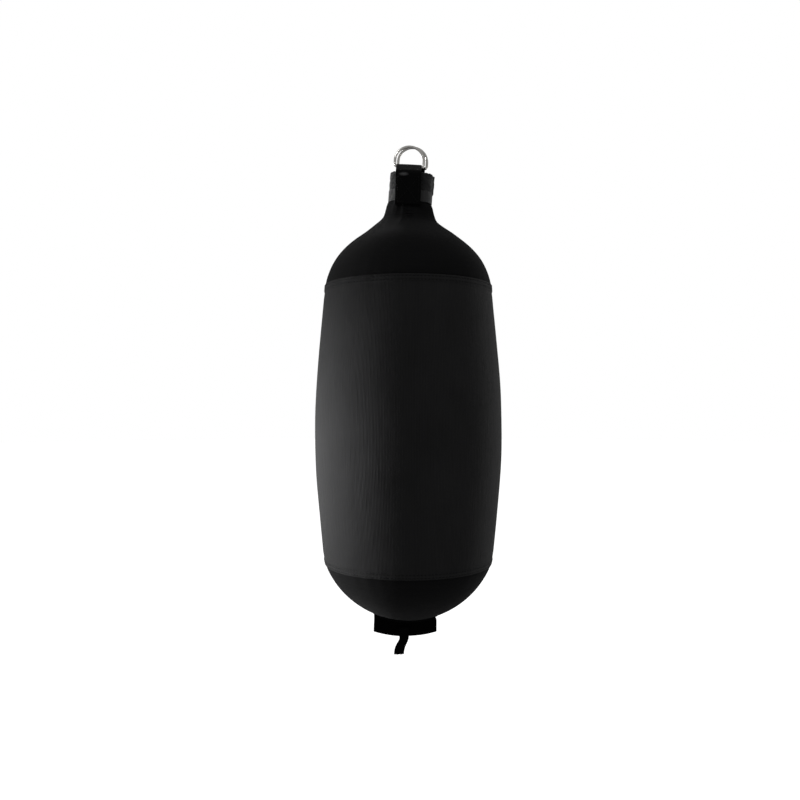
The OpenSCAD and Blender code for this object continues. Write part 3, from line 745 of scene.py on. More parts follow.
def neck_folds(angle, run):
    """Gathers that run down from the lower band and fade out over the shoulder."""
    rng = random.Random(11)
    height = 0
    for k in range(26):
        centre = TURN * (k + rng.uniform(-0.35, 0.35)) / 26
        width = rng.uniform(0.05, 0.09)
        reach = rng.uniform(28, 95)
        size = rng.uniform(0.5, 1.35)
        off = (angle - centre + math.pi) % TURN - math.pi
        fade = 1 - smoothstep((run - BAND_FOOT) / reach)
        height = height + size * bell(off, width) * fade
    return height


CLOTH_SETTINGS = {
    "quality": 6,
    "mass": 0.3,
    "tension_stiffness": 30,
    "compression_stiffness": 30,
    "shear_stiffness": 12,
    "bending_stiffness": 0.8,
    "tension_damping": 12,
    "compression_damping": 12,
    "use_pressure": True,
    "uniform_pressure_force": 2.5,
    "vertex_group_mass": "held",
}
LAST_STEP = 20


def run_cloth(start, hold):
    """Where a closed grid of cloth settles under air pressure, with its rows held by shares."""
    rows, cols = start.shape[:2]
    faces, _ = quads(rows, cols, True)
    cloth = make_object("cover_cloth", start.reshape(-1, 3), faces, np.zeros((faces.size, 2)))
    held = cloth.vertex_groups.new(name="held")
    for i, share in enumerate(hold):
        if share > 0:
            held.add(range(i * cols, (i + 1) * cols), float(share), "REPLACE")
    air = cloth.modifiers.new("air", "CLOTH")
    for setting, value in CLOTH_SETTINGS.items():
        setattr(air.settings, setting, value)
    air.settings.effector_weights.gravity = 0
    air.point_cache.frame_start = 1
    air.point_cache.frame_end = LAST_STEP
    for step in range(1, LAST_STEP + 1):
        bpy.context.scene.frame_set(step)
    shown = cloth.evaluated_get(bpy.context.evaluated_depsgraph_get())
    flat = np.empty(len(shown.data.vertices) * 3, np.float32)
    shown.data.vertices.foreach_get("co", flat)
    bpy.data.objects.remove(cloth)
    bpy.context.scene.frame_set(1)
    return flat.reshape(rows, cols, 3) / MM


def settle_cover():
    """Runs the cover as cloth under air pressure, held at its bands and seams, and keeps how far
    each point moves from the CAD's shape. The mean of each level is taken out, so that the
    cover keeps its size, and a point's move is capped."""
    rows = int(round((SIM_LAST - SIM_FIRST) / SIM_STEP)) + 1
    run = np.linspace(SIM_FIRST, SIM_LAST, rows)[:, None]
    angle = once_round(SIM_COLS)
    held_at = (TOP_SEAM, BOTTOM_SEAM, SIM_FIRST, SIM_LAST)
    from_held = np.min([np.abs(run - at) for at in held_at], axis=0)
    slack = 1.6 * smoothstep(from_held / 40)
    uneven = wobble(3, 5, 2, 6, True)(angle + 0.004 * run) * wobble(4, 4, 0.02, 0.05)(run)
    ripples = wobble(8, 5, 24, 44, True)(angle) * np.exp(-from_held / 14)
    relief = neck_folds(angle, run) + 0.5 * uneven * smoothstep(from_held / 30) + 0.25 * ripples
    moved = raised(angle, run, relief - slack)
    moved = run_cloth(moved, np.clip(1 - from_held[:, 0] / (0.9 * SIM_STEP), 0, 1))
    normal = skin_normal(angle, run)
    outward = np.sum((moved - skin(angle, run)) * normal, axis=2)
    out = np.clip(outward - outward.mean(axis=1, keepdims=True), -MOVE_CAP, MOVE_CAP)
    settled.update(move=out[..., None] * normal, first=SIM_FIRST, last=SIM_LAST)


settle_cover()


# ---------------------------------------------------------------- cover panels and seams

STITCHES_ROUND = 150
COLUMNS = 3 * STITCHES_ROUND
HEM = 9.0                        # width of the overlap at a seam
HEM_RISE = 0.75
ROWS_OFF = (2.1, 7.0)            # stitch rows, from the seam
BACK_ROW = 3.5                   # stitch rows of the back seam, from its middle
SEAM_STITCH = (3.9, 1.5, 0.42)


def panel_angles(with_back_seam):
    """Angles of a panel's columns, closer together at the back seam."""
    even = np.arange(COLUMNS) * TURN / COLUMNS - math.pi
    if not with_back_seam:
        return even
    close = np.array([-7.6, -7.0, -6.5, -6.2, -5.9, -5.4, -4.6, -4.0, -3.5, -3.0, -2.2, -1.1])
    close = np.concatenate([close, -close[::-1], [0]]) / BELLY_R
    close = np.where(close < 0, math.pi + close, close - math.pi)
    return np.sort(np.concatenate([even[np.abs(even) < math.pi - 8.4 / BELLY_R], close]))


def panel_runs(first, last, fine_at, coarse=9.0, fine=0.55, reach=11.0):
    """Rows of a panel, close together next to its seams."""
    marks = [first, last]
    for at in fine_at:
        span = np.arange(-reach, reach + fine / 2, fine)
        marks += [at + d for d in span if first < at + d < last]
    marks = np.unique(np.round(marks, 3))
    runs = [marks[0]]
    for m in marks[1:]:
        gap = m - runs[-1]
        if gap > coarse:
            runs += list(np.linspace(runs[-1], m, int(gap / coarse) + 2)[1:])
        elif gap > 0.2:
            runs.append(m)
    return np.array(runs)


def stitch_pucker(angle):
    """The cloth rises a little between stitches."""
    return 0.12 * np.cos(STITCHES_ROUND * angle)


def body_relief(angle, run):
    """Hems at both ends of the body panel and the felled seam up its back."""
    rise = 0
    for seam, side in ((TOP_SEAM, 1), (BOTTOM_SEAM, -1)):
        inside = (run - seam) * side
        rise = rise + HEM_RISE * (1 - smoothstep((inside - HEM) / 1.4 + 0.5))
        for off in ROWS_OFF:
            rise = rise - 0.42 * bell(inside - off, 0.9) * (1 + stitch_pucker(angle) * 3)
        dip = 0.5 * np.exp(-np.abs(inside - HEM - 2.5) / 3)
        rise = rise - dip * (1 + 0.5 * stitch_pucker(angle))
    across = (angle % TURN - math.pi) * BELLY_R
    felled = smoothstep((6.3 - np.abs(across)) / 0.7)
    clear = smoothstep((run - TOP_SEAM - HEM) / 3) * smoothstep((BOTTOM_SEAM - HEM - run) / 3)
    back = (0.7 - 0.4 * bell(np.abs(across) - BACK_ROW, 0.7)) * felled
    return rise + back * clear


def cover_panel(name, grid, slot, node):
    """A panel of the cover, drawn tight by the air inside."""
    made = build(name, [sheet_parts(grid, FABRIC_T, wrap=True, above=0)], slot, node)


def relieved(angle, run, relief):
    """A grid on the cover's outer face, raised by a relief of angle and run."""
    angle, run = angle[None, :], run[:, None]
    return raised(angle, run, relief(angle, run))


body_runs = panel_runs(TOP_SEAM - 0.2, BOTTOM_SEAM + 0.2, (TOP_SEAM, BOTTOM_SEAM))
cover_panel("body_cover", relieved(panel_angles(True), body_runs, body_relief), "cover_fabric",
            "body_panel")


# Short creases across the front of the neck's foot: height, middle and half width in radians
CREASES = ((-104.5, -0.06, 0.14), (-109.0, -0.02, 0.17), (-113.2, 0.0, 0.10))


def shoulder_relief(angle, run):
    """The shoulder tucks in under the body panel's hem."""
    under = -1.0 * smoothstep((run - TOP_SEAM + 3.5) / 3.5)
    pull = -0.4 * np.exp(-np.abs(run - TOP_SEAM + 3.5) / 5) * (1 + 2 * stitch_pucker(angle))
    rim = 0.5 * smoothstep((4 - run) / 2)
    crease = 0
    for level, centre, half in CREASES:
        reach = np.exp(-(((angle + math.pi) % TURN - math.pi - centre) / half) ** 4)
        below = run - run_at_height(level)
        crease = crease + (0.7 * bell(below - 2.4, 1.4) - 1.6 * bell(below, 1.1)) * reach
    return under + pull + rim + crease


creased = float(run_at_height(CREASES[1][0]))
shoulder_runs = panel_runs(0.3, TOP_SEAM + 2.5, (TOP_SEAM, BAND_FOOT, creased), coarse=3.2,
                           fine=0.8)
cover_panel("shoulder_cover", relieved(panel_angles(False), shoulder_runs, shoulder_relief),
            "panel_fabric", "shoulder_panel")


# The base runs down to a ring, and from there to the mouth's straight edges

RING_R = 78.0
MOUTH_CORNER_R = 3.0


def oblong(angle, half_w, half_d):
    """Points on a rounded oblong round the mouth's middle, seen from its centre by angle."""
    s, c = np.sin(angle), -np.cos(angle)
    k = 1 / np.maximum(np.abs(s) / half_w, np.abs(c) / half_d)
    power = 2 * half_d / MOUTH_CORNER_R
    soft = (np.abs(s / half_w) ** power + np.abs(c / half_d) ** power) ** (-1 / power)
    k = np.minimum(k, soft)
    return MOUTH_X + k * s, k * c


def base_relief(angle, run):
    """The base tucks in under the body panel's hem."""
    tuck = -1.0 * (1 - smoothstep((run - BOTTOM_SEAM) / 3.5))
    return tuck - 0.4 * np.exp(-np.abs(run - BOTTOM_SEAM - 3.5) / 5) + 0 * angle


def base_grid():
    angle = panel_angles(False)
    upper = panel_runs(BOTTOM_SEAM - 2.5, float(run_at_radius(RING_R)), (BOTTOM_SEAM,), coarse=4.0,
                       fine=0.8)
    share = np.concatenate([np.linspace(0, 0.9, 20)[1:], 0.9 + 0.1 * np.linspace(0, 1, 10)[1:]])
    ring_x, ring_y = BODY_X + RING_R * np.sin(angle), -RING_R * np.cos(angle)
    edge_x, edge_y = oblong(np.arctan2(ring_x - MOUTH_X, -ring_y), MOUTH_HALF_W, MOUTH_HALF_D)
    x = ring_x + (edge_x - ring_x) * share[:, None]
    y = ring_y + (edge_y - ring_y) * share[:, None]
    from_edge = (1 - share)[:, None] * np.hypot(edge_x - ring_x, edge_y - ring_y)
    hem = 0.25 * smoothstep((5.5 - from_edge) / 0.8)
    return np.vstack([relieved(angle, upper, base_relief), raised(*base_place(x, y), hem)])


cover_panel("base_cover", base_grid(), "panel_fabric", "base_panel")


def seam_row(angle, run):
    """A row of stitches on the body panel: its points and the way out of the cloth."""
    angle, run = np.broadcast_arrays(angle, run)
    return raised(angle, run, body_relief(angle, run)), skin_normal(angle, run)


round_angles = np.linspace(0, TURN, COLUMNS + 1)
for end, seam, side in (("top", TOP_SEAM, 1), ("bottom", BOTTOM_SEAM, -1)):
    sew(f"{end}_seam_thread", [seam_row(round_angles, seam + side * off) for off in ROWS_OFF],
        SEAM_STITCH, f"{end}_seam_stitching")
back_runs = np.arange(TOP_SEAM + 9.8, BOTTOM_SEAM - 9.8, 1.5)
back_rows = [seam_row(math.pi + off / BELLY_R, back_runs) for off in (-BACK_ROW, BACK_ROW)]
sew("back_seam_thread", back_rows, SEAM_STITCH, "back_seam_stitching")

TAPE_HALF_W = 8


def inner_tape(name, angle, run, wrap, node):
    """Tape on the cover's inner face, with ribs along it."""
    grid = raised(angle, run, -FABRIC_T - 0.75 + 0 * angle * run)
    ribs = 0.08 * np.cos((run if wrap else angle * BELLY_R) * TURN / 2.3)
    build(name, [sheet_parts(grid, 0.6, wrap=wrap, ribs=ribs)], "webbing", node)


tape_angle = once_round(240)
tape_across = np.linspace(-TAPE_HALF_W, TAPE_HALF_W, 22)
for end, seam in (("top", TOP_SEAM), ("bottom", BOTTOM_SEAM)):
    inner_tape(f"{end}_seam_strip", tape_angle, seam + tape_across[:, None], True,
               f"{end}_seam_tape")
inner_tape("back_seam_strip", (math.pi + tape_across / BELLY_R)[None, :],
           np.arange(TOP_SEAM + 8.4, BOTTOM_SEAM - 8.4, 4.0)[:, None], False, "back_seam_tape")


def mouth_binding():
    """Binding tape round the mouth, inside the base."""
    out = np.linspace(0, 9, 14)[:, None]
    x, y = oblong(tape_angle, MOUTH_HALF_W + 0.2 + out, MOUTH_HALF_D + 0.2 + out)
    grid = raised(*base_place(x, y), np.full_like(x, -FABRIC_T - 0.5))[::-1]
    ribs = 0.07 * np.cos(out[::-1] * TURN / 2.2)
    build("mouth_edging", [sheet_parts(grid, 0.7, wrap=True, ribs=ribs)], "webbing",
          "mouth_binding")


mouth_binding()


# ---------------------------------------------------------------- neck

def neck_point(angle, half_w, half_d, z, power=NECK_POWER):
    """Points on a section of the leaning neck."""
    across, ahead = superellipse(angle, power)
    return tilted(half_w * across, -half_d * ahead, z, NECK_LEAN, BODY_X, NECK_PIVOT_Z)


BAND_T = 1.9
UPPER_BAND_TOP_Z, UPPER_BAND_W = -43.0, 25.7
UPPER_BAND_HALF_W, UPPER_BAND_HALF_D = 31.6, 21.6
LOWER_BAND_TOP_Z, LOWER_BAND_W = -69.8, 16.5
LOWER_BAND_HALF_W, LOWER_BAND_HALF_D = 32.6, 21.9
LAP_END, LAP_SPAN = math.radians(90 + 44), math.radians(46)
WEBBING_END = math.radians(200)  # where the lower band's webbing is sewn down


def upper_band():
    """A hook-and-loop wrap: one layer all the way round and a second one over its start."""
    z = np.linspace(UPPER_BAND_TOP_Z, UPPER_BAND_TOP_Z - UPPER_BAND_W, 54)[:, None]
    start = LAP_END - LAP_SPAN
    angle = np.linspace(start - TURN, LAP_END, 520)[None, :]
    offset = BAND_T / 2 + (BAND_T + 0.15) * smoothstep((angle - start + 0.16) / 0.2)
    offset = offset + 0.22 * wobble(21, 4, 6, 15)(angle + z * 0.05)
    edge = 0.5 * wobble(22, 5, 9, 30)(angle) * (np.abs(z - UPPER_BAND_TOP_Z + 12.8) / 12.9) ** 3
    grid = neck_point(angle, UPPER_BAND_HALF_W + offset, UPPER_BAND_HALF_D + offset, z + edge)
    tufts = np.random.default_rng(5).random((z.size, angle.size))
    tufts = tufts + np.roll(tufts, 1, 0)
    tufts = (tufts + np.roll(tufts, 1, 1)) / 4
    piece = build("upper_band_wrap", [sheet_parts(grid, BAND_T, relief=0.55 * (tufts - 0.5))],
                  "loop_fabric", "upper_neck_band")


upper_band()


def lower_band():
    """Webbing drawn tight round the neck, with its end sewn down at the back."""
    z = np.linspace(LOWER_BAND_TOP_Z, LOWER_BAND_TOP_Z - LOWER_BAND_W, 40)[:, None]
    angle = np.linspace(WEBBING_END - TURN - 0.5, WEBBING_END, 460)[None, :]
    offset = 0.75 + 1.25 * smoothstep((angle - WEBBING_END + 0.6) / 0.12)
    offset = offset + 0.15 * wobble(23, 4, 5, 11)(angle)
    grid = neck_point(angle, LOWER_BAND_HALF_W + offset, LOWER_BAND_HALF_D + offset, z)
    ribs = 0.13 * np.cos((z - LOWER_BAND_TOP_Z) * TURN / 2.06) + 0 * angle
    piece = build("lower_band_webbing", [sheet_parts(grid, 1.3, ribs=ribs)], "grey_webbing",
                  "lower_neck_band")


lower_band()


def square_disc(n):
    """A grid whose border is the unit circle."""
    u, v = np.meshgrid(np.linspace(-1, 1, n), np.linspace(-1, 1, n))
    return u * np.sqrt(1 - v * v / 2), v * np.sqrt(1 - u * u / 2)


DISC_HALF_W, DISC_HALF_D = 29.2, 18.8


def neck_cap():
    """A fabric disc that closes the neck, crowned by the foam under it."""
    x, y = square_disc(72)
    angle, r = np.arctan2(x, -y), np.hypot(x, y)
    crown = 1.3 * (1 - r**2) + 0.22 * wobble(31, 5, 7, 17, True)(angle) * r**2 * (1 - r) * 4
    grid = neck_point(angle, DISC_HALF_W * r, DISC_HALF_D * r, NECK_TOP_Z - 1.1 + crown)
    piece = build("neck_top_disc", [sheet_parts(grid[::-1], 1.3)], "panel_fabric", "neck_cap")


neck_cap()

CORE_TOP_Z, CORE_FOOT_Z = -44.5, -101.0


def neck_core():
    """The foam plug inside the neck, with soft edges."""
    angle = once_round(96)[0]
    end = np.linspace(0, 1, 7)
    shares = np.concatenate([end, np.full(26, 1.0), end[::-1]])
    levels = np.concatenate([CORE_TOP_Z - 4 * (1 - np.cos(end * math.pi / 2)),
                             np.linspace(CORE_TOP_Z - 5.5, CORE_FOOT_Z + 2, 26),
                             CORE_FOOT_Z - 4 * np.sin(end * math.pi / 2)])
    rings = []
    for share, level in zip(shares, levels):
        r = np.interp(level, PROFILE[::-1, 1], PROFILE[::-1, 0])
        inset = 3.4 + 5 * (1 - math.sqrt(max(0.0, 1 - (1 - share) ** 2)))
        grow = 0.25 * wobble(41, 5, 2, 7, True)(angle + level * 0.05)
        flat, power = section(level)
        rings.append(neck_point(angle, r - inset + grow, r * flat - inset + grow, level, power))
    return build("neck_foam", [loft_parts(rings)], "foam", "neck_core")


neck_core()


# ---------------------------------------------------------------- D-rings and their straps

BAR_Y, BAR_Z = 4.4, -30.0
WIRE_R = 2.0
BOW_R, CORNER_R = 22.5, 4.0
RING_LEAN, RING_OFFSET = math.radians(3.5), 2.5
BAR_DROP = WIRE_R - BAR_Z
SIDES = ((-1, "front"), (1, "rear"))     # which way along Y, and how the names begin
STRAP_W = 39.5
STRAP_LEAN = math.radians(2.6)
STRAP_END_Z = -94.6


def strap_place(side, x, y, z):
    """Sets a point of a strap off and leans it."""
    return tilted(x, side * y, z, STRAP_LEAN, side * RING_OFFSET, BAR_Z)


def d_ring(side, end):
    """Round bar bent to a D, with a weld on its straight bar."""
    half = BOW_R - CORNER_R
    bar = np.linspace(-half, half, 26)[1:-1]
    line = np.vstack([
        arc((0, BAR_DROP - BOW_R), BOW_R, 0, 180, 56),
        arc((-half, CORNER_R), CORNER_R, 180, 270, 12),
        np.stack([bar, 0 * bar], 1),
        arc((half, CORNER_R), CORNER_R, 270, 360, 12)])
    x, up = line[:, 0], line[:, 1]
    bead = 0.22 * bell(x, 1.6) * (up < 1)
    points = strap_place(side, x, BAR_Y, BAR_Z + np.cos(RING_LEAN) * up)
    points[:, 1] -= side * np.sin(RING_LEAN) * up
    build(f"{end}_ring", [tube_parts(points, WIRE_R + bead, 28, closed=True, up=(0.0, 1.0, 0.0))],
          "steel", f"{end}_d_ring", f"ring_{end}")


for side, end in SIDES:
    d_ring(side, end)

LOOP_R = WIRE_R + 0.45 + WEB_T / 2
INNER_Y = 24.75
OUTER_Y = INNER_Y + WEB_T + 0.2
CROWN_Z = NECK_TOP_Z - 1.4
HEM_H = 9.0


def strap_line():
    """The webbing's middle, as distance from the centre plane and height: up the inner layer,
    round the ring's bar, down the outer layer and under to a hem."""
    slope_in, slope_out = 23, 36
    fold_r = (OUTER_Y - INNER_Y) / 2
    line = np.vstack([
        [(INNER_Y, STRAP_END_Z + HEM_H + 3), (INNER_Y, CROWN_Z - 6)],
        bezier((INNER_Y, CROWN_Z - 4), (INNER_Y, CROWN_Z - 0.5), (INNER_Y - 1, CROWN_Z + 1.1),
               (INNER_Y - 4, CROWN_Z + 2.5), 8),
        arc((BAR_Y, BAR_Z), LOOP_R, -90 - slope_in, -270 - slope_out, 20),
        bezier((OUTER_Y - 4.5, CROWN_Z + 4.6), (OUTER_Y - 1.2, CROWN_Z + 2.5),
               (OUTER_Y, CROWN_Z + 0.6), (OUTER_Y, CROWN_Z - 4), 8),
        [(OUTER_Y, CROWN_Z - 6)],
        arc(((INNER_Y + OUTER_Y) / 2, STRAP_END_Z + fold_r + WEB_T / 2), fold_r, 0, -180, 10),
        [(INNER_Y, STRAP_END_Z + HEM_H)]])
    return resample(line, 0.55)


def strap(side, end):
    """Webbing that goes round a ring's bar and lies doubled down one side of the neck."""
    line = strap_line()
    half = STRAP_W / 2 - 0.7
    x = np.linspace(-half, half, 81)[None, :]
    y, z = line[:, :1], line[:, 1:]
    cupped = 0.35 * (x / half) ** 2 * smoothstep((z - CROWN_Z + 6) / 6)
    x_bent = x + 0.25 * wobble(51 + side, 3, 0.04, 0.1)(z)
    grid = strap_place(side, x_bent * side * -1, y + 0 * x, z - cupped)
    ribs = 0.11 * np.cos(x * TURN / 2.44) * (1 - (np.abs(x) / half) ** 12)
    selvedge = 0.12 * bell(np.abs(x) - half + 1.2, 0.7)
    piece = build(f"{end}_strap", [sheet_parts(grid, WEB_T - 0.15, ribs=ribs + selvedge + 0 * z)],
                  "webbing", f"{end}_ring_strap")


for side, end in SIDES:
    strap(side, end)

BOX_HALF_W = 16.0
BOX_TOP_Z, BOX_BOTTOM_Z = NECK_TOP_Z - 8.7, STRAP_END_Z + 4


def strap_thread(side, end):
    """A box with a cross in it, sewn through the strap."""
    corners = [(-BOX_HALF_W, BOX_TOP_Z), (BOX_HALF_W, BOX_TOP_Z),
               (BOX_HALF_W, BOX_BOTTOM_Z), (-BOX_HALF_W, BOX_BOTTOM_Z)]
    rows = []
    for a, b in ((0, 1), (1, 2), (2, 3), (3, 0), (0, 2), (1, 3)):
        x, z = np.linspace(corners[a], corners[b], 60).T
        rows.append((strap_place(side, x, OUTER_Y + WEB_T / 2 + 0.05 + 0 * x, z), (0.0, side, 0.0)))
    sew(f"{end}_strap_thread", rows, (2.9, 0.9, 0.36), f"{end}_strap_stitching")


for side, end in SIDES:
    strap_thread(side, end)


# ---------------------------------------------------------------- closure flaps and their fin

FLAP_HALF_W = 48.3
CORNER_CUT = 3.9                 # off the upper right corner of the fin
BEND_R = 2.25
SEW_ON = 4.6                     # how far a flap lies over the base beyond its hinge line
SEWN_ROW = 3.0                   # its stitches, from the hinge line
FLAP_STITCH = (3.2, 1.2, 0.36)
FLAT_ROWS, BEND_ROWS, FIN_ROWS = (18, 14), 8, 39


def fin_edge_z(x):
    return BASE_Z - FIN_DROP + FIN_EDGE_R - np.sqrt(FIN_EDGE_R**2 - (x - MOUTH_X) ** 2)


def fin_wave(x, z):
    """How far the fin strays from its plane."""
    drop = smoothstep((BASE_Z - z) / 26)
    return drop * (0.9 * np.sin((x - MOUTH_X) / 17 + 0.6) + 0.35 * np.sin((x - MOUTH_X) / 6.3))


def fin_sides(z):
    """Left and right ends of the fin at a height, with its upper right corner cut."""
    below = smoothstep((BASE_Z + 5 - z) / 9)
    left = MOUTH_X - FLAP_HALF_W - 0.6 * smoothstep((BASE_Z - z) / 20)
    return left, MOUTH_X + FLAP_HALF_W - CORNER_CUT + 3.6 * below


def flap_grid(side, share, y_fin=FIN_MID_Y, lift=0.0):
    """Middle of a flap: from its sewn edge along the base, round a bend and down the fin."""
    across = 2 * share[None, :] - 1
    on_base, to_bend = FLAT_ROWS
    flat_y = np.concatenate([
        np.linspace(HINGE_Y + SEW_ON, HINGE_Y - 2.2, on_base),
        np.linspace(HINGE_Y - 2.7, y_fin + BEND_R, to_bend)])[:, None]
    x_flat = MOUTH_X + FLAP_HALF_W * across + 0 * flat_y
    over = 1.15 * smoothstep((flat_y - HINGE_Y + 1.6) / 2.6) - FABRIC_T / 2 + lift
    flat = raised(*base_place(x_flat, side * flat_y), over + 0 * x_flat)
    bend = np.linspace(0, math.pi / 2, BEND_ROWS + 1)[1:, None]
    narrowing = smoothstep(bend / (math.pi / 2)) * (across > 0)
    x_bend = MOUTH_X + (FLAP_HALF_W - CORNER_CUT * narrowing) * across
    base = raised(*base_place(x_bend, side * (y_fin + BEND_R) + 0 * x_bend),
                  -FABRIC_T / 2 + lift + 0 * x_bend)[..., 2]
    curve = np.stack([x_bend, side * (y_fin + BEND_R * (1 - np.sin(bend))) + 0 * x_bend,
                      base - BEND_R * (1 - np.cos(bend))], -1)
    top = curve[-1:, :, 2]
    down = np.linspace(0, 1, FIN_ROWS + 1)[1:, None]
    left, right = fin_sides(top + (fin_edge_z(curve[-1:, :, 0]) - top) * down)
    x_fin = left + (right - left) * (across + 1) / 2
    z_fin = top + (fin_edge_z(x_fin) - top) * down
    grid = np.vstack([flat, curve, np.stack([x_fin, side * y_fin + 0 * z_fin, z_fin], -1)])
    grid[..., 1] += fin_wave(grid[..., 0], grid[..., 2])
    return grid


def over_hinge(piece):
    """Bakes a piece's transform into its mesh."""
    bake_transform(piece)


def closure_flap(side, end):
    """One closure flap, hemmed at its ends and along the fin's lower edge."""
    share = np.linspace(0, 1, 130)
    grid = flap_grid(side, share)
    from_end = np.minimum(share, 1 - share)[None, :] * 2 * FLAP_HALF_W
    from_bottom = 0.7 * np.arange(len(grid))[::-1, None]
    hem = 0.3 * np.maximum(smoothstep((5.5 - from_end) / 0.8), smoothstep((6 - from_bottom) / 0.8))
    if side > 0:
        grid, hem = grid[:, ::-1], hem[:, ::-1]
    piece = build(f"{end}_flap", [sheet_parts(grid, FABRIC_T - 0.1, relief=hem * 0.6)],
                  "panel_fabric", f"{end}_closure_flap", None, "flap_fabric")
    over_hinge(piece)


for side, end in SIDES:
    closure_flap(side, end)


def fin_tape(side, end, kind):
    """A strip of hook or loop tape on the inner face of a fin's half."""
    grid = flap_grid(side, np.linspace(0.03, 0.965, 150), y_fin=0.78)[1 - FIN_ROWS:-2]
    if side > 0:
        grid = grid[:, ::-1]
    pile = 0.25 * (np.random.default_rng(9 + side).random(grid.shape[:2]) - 0.5)
    build(f"{kind}_strip", [sheet_parts(grid, 0.9, under=pile)], f"{kind}_fabric", f"{kind}_tape",
          f"flap_{end}")


for (side, end), kind in zip(SIDES, ("hook", "loop")):
    fin_tape(side, end, kind)


def flap_thread(side, end):
    """Stitches along the fin's lower and upper edges, and where the flap is sewn to the base."""
    share = np.linspace(0.04, 0.95, 160)
    grid = flap_grid(side, share, y_fin=FIN_MID_Y + FABRIC_T / 2 + 0.12, lift=FABRIC_T / 2)
    fin_top = sum(FLAT_ROWS) + BEND_ROWS
    rows = [(grid[at], (0.0, side, 0.0)) for at in (fin_top + FIN_ROWS - 7, fin_top + 5)]
    x = MOUTH_X + FLAP_HALF_W * (2 * share - 1)
    place = base_place(x, side * (HINGE_Y + SEWN_ROW) + 0 * x)
    rows.append((raised(*place, np.full_like(x, 1.25)), skin_normal(*place)))
    piece = sew(f"{end}_flap_thread", rows, FLAP_STITCH, f"{end}_flap_stitching", None)
    over_hinge(piece)


for side, end in SIDES:
    flap_thread(side, end)


# ---------------------------------------------------------------- pull tab

TAB_W, TAB_T = 15.0, 1.4
TAB_X = MOUTH_X - 2.1
TAB_TOP_Z = BASE_Z - FIN_DROP - 1.3
TAB_L, TAB_DRIFT = 27.0, -7.8
TAB_SEWN = 15.0                  # how far the tab runs up the flap
TAB_BARS = (6.0, 8.5, 11.0)      # its rows of stitches, over the fin's lowest edge
TAB_OUT_Y = FIN_MID_Y + FABRIC_T / 2 + TAB_T / 2 + 0.15


def frayed_threads(cut_end, inner):
    """Loose ends of thread at a cut edge. inner is a row of points a little way in from it."""
    rng = random.Random(71)
    share = np.linspace(0, 1, 4)[:, None]
    parts = []
    for _ in range(60):
        k = rng.randrange(2, len(cut_end) - 2)
        start = cut_end[k] + np.array([0, rng.uniform(-0.4, 0.4), 0.3])
        out = cut_end[k] - inner[k]
        out = out / np.linalg.norm(out) * rng.uniform(0.8, 2.0)
        bend = np.array([rng.uniform(-0.6, 0.6), rng.uniform(-0.6, 0.6), 0])
        parts.append(tube_parts(start + out * share + bend * share**2, 0.09, 4))
    return parts


def tab_piece():
    """Webbing sewn to the front flap, that hangs below it with a slight twist."""
    end_x, end_z = TAB_X + TAB_DRIFT, TAB_TOP_Z - TAB_L
    line = resample(np.vstack([
        [(TAB_X, TAB_TOP_Z + TAB_SEWN)],
        bezier((TAB_X, TAB_TOP_Z), (TAB_X, TAB_TOP_Z - 0.35 * TAB_L),
               (end_x - 0.3, TAB_TOP_Z - 0.5 * TAB_L), (end_x, end_z), 30),
        [(end_x, end_z)]]), 0.6)
    ahead = np.gradient(line, axis=0)
    ahead /= np.linalg.norm(ahead, axis=1, keepdims=True)
    below = TAB_TOP_Z - line[:, 1:]
    hang = smoothstep((below + 2) / 7)
    twist = np.radians(9) * smoothstep(below / TAB_L)
    y_middle = -(TAB_OUT_Y + (FIN_MID_Y - TAB_OUT_Y) * hang)
    y_middle = y_middle + fin_wave(line[:, :1], line[:, 1:]) * (1 - hang)
    pinch = 1 - 0.1 * bell(below - 8, 6) + 0.06 * smoothstep((below - 12) / 10)
    w = np.linspace(-TAB_W / 2 + 0.6, TAB_W / 2 - 0.6, 34)[None, :] * pinch
    grid = np.stack([line[:, :1] - w * ahead[:, 1:] * np.cos(twist),
                     y_middle + w * np.sin(twist),
                     line[:, 1:] + w * ahead[:, :1] * np.cos(twist)], -1)
    parts = [sheet_parts(grid, TAB_T - 0.2, ribs=0.1 * np.cos(w * TURN / 2.2))]
    parts += frayed_threads(grid[-1], grid[-4])
    piece = build("pull_webbing", parts, "webbing", "pull_tab", None, "tab_webbing")
    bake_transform(piece)


tab_piece()


def tab_thread():
    """Bars of stitches that hold the tab."""
    x = np.linspace(TAB_X - TAB_W / 2 + 1.2, TAB_X + TAB_W / 2 - 1.2, 24)
    rows = []
    for up in TAB_BARS:
        z = np.full_like(x, BASE_Z - FIN_DROP + up)
        y = -(TAB_OUT_Y + TAB_T / 2) + fin_wave(x, z)
        rows.append((np.stack([x, y, z], 1), (0.0, -1.0, 0.0)))
    sew("pull_webbing_thread", rows, (1.9, 0.5, 0.34), "pull_tab_stitching", "flap_front")


tab_thread()


# ---------------------------------------------------------------- bladder and valve

FLOOR_Z = BASE_Z + 21.4
POCKET_R = 34.0
FILM_T = 0.8
BLADDER_DEPTH = 2.7


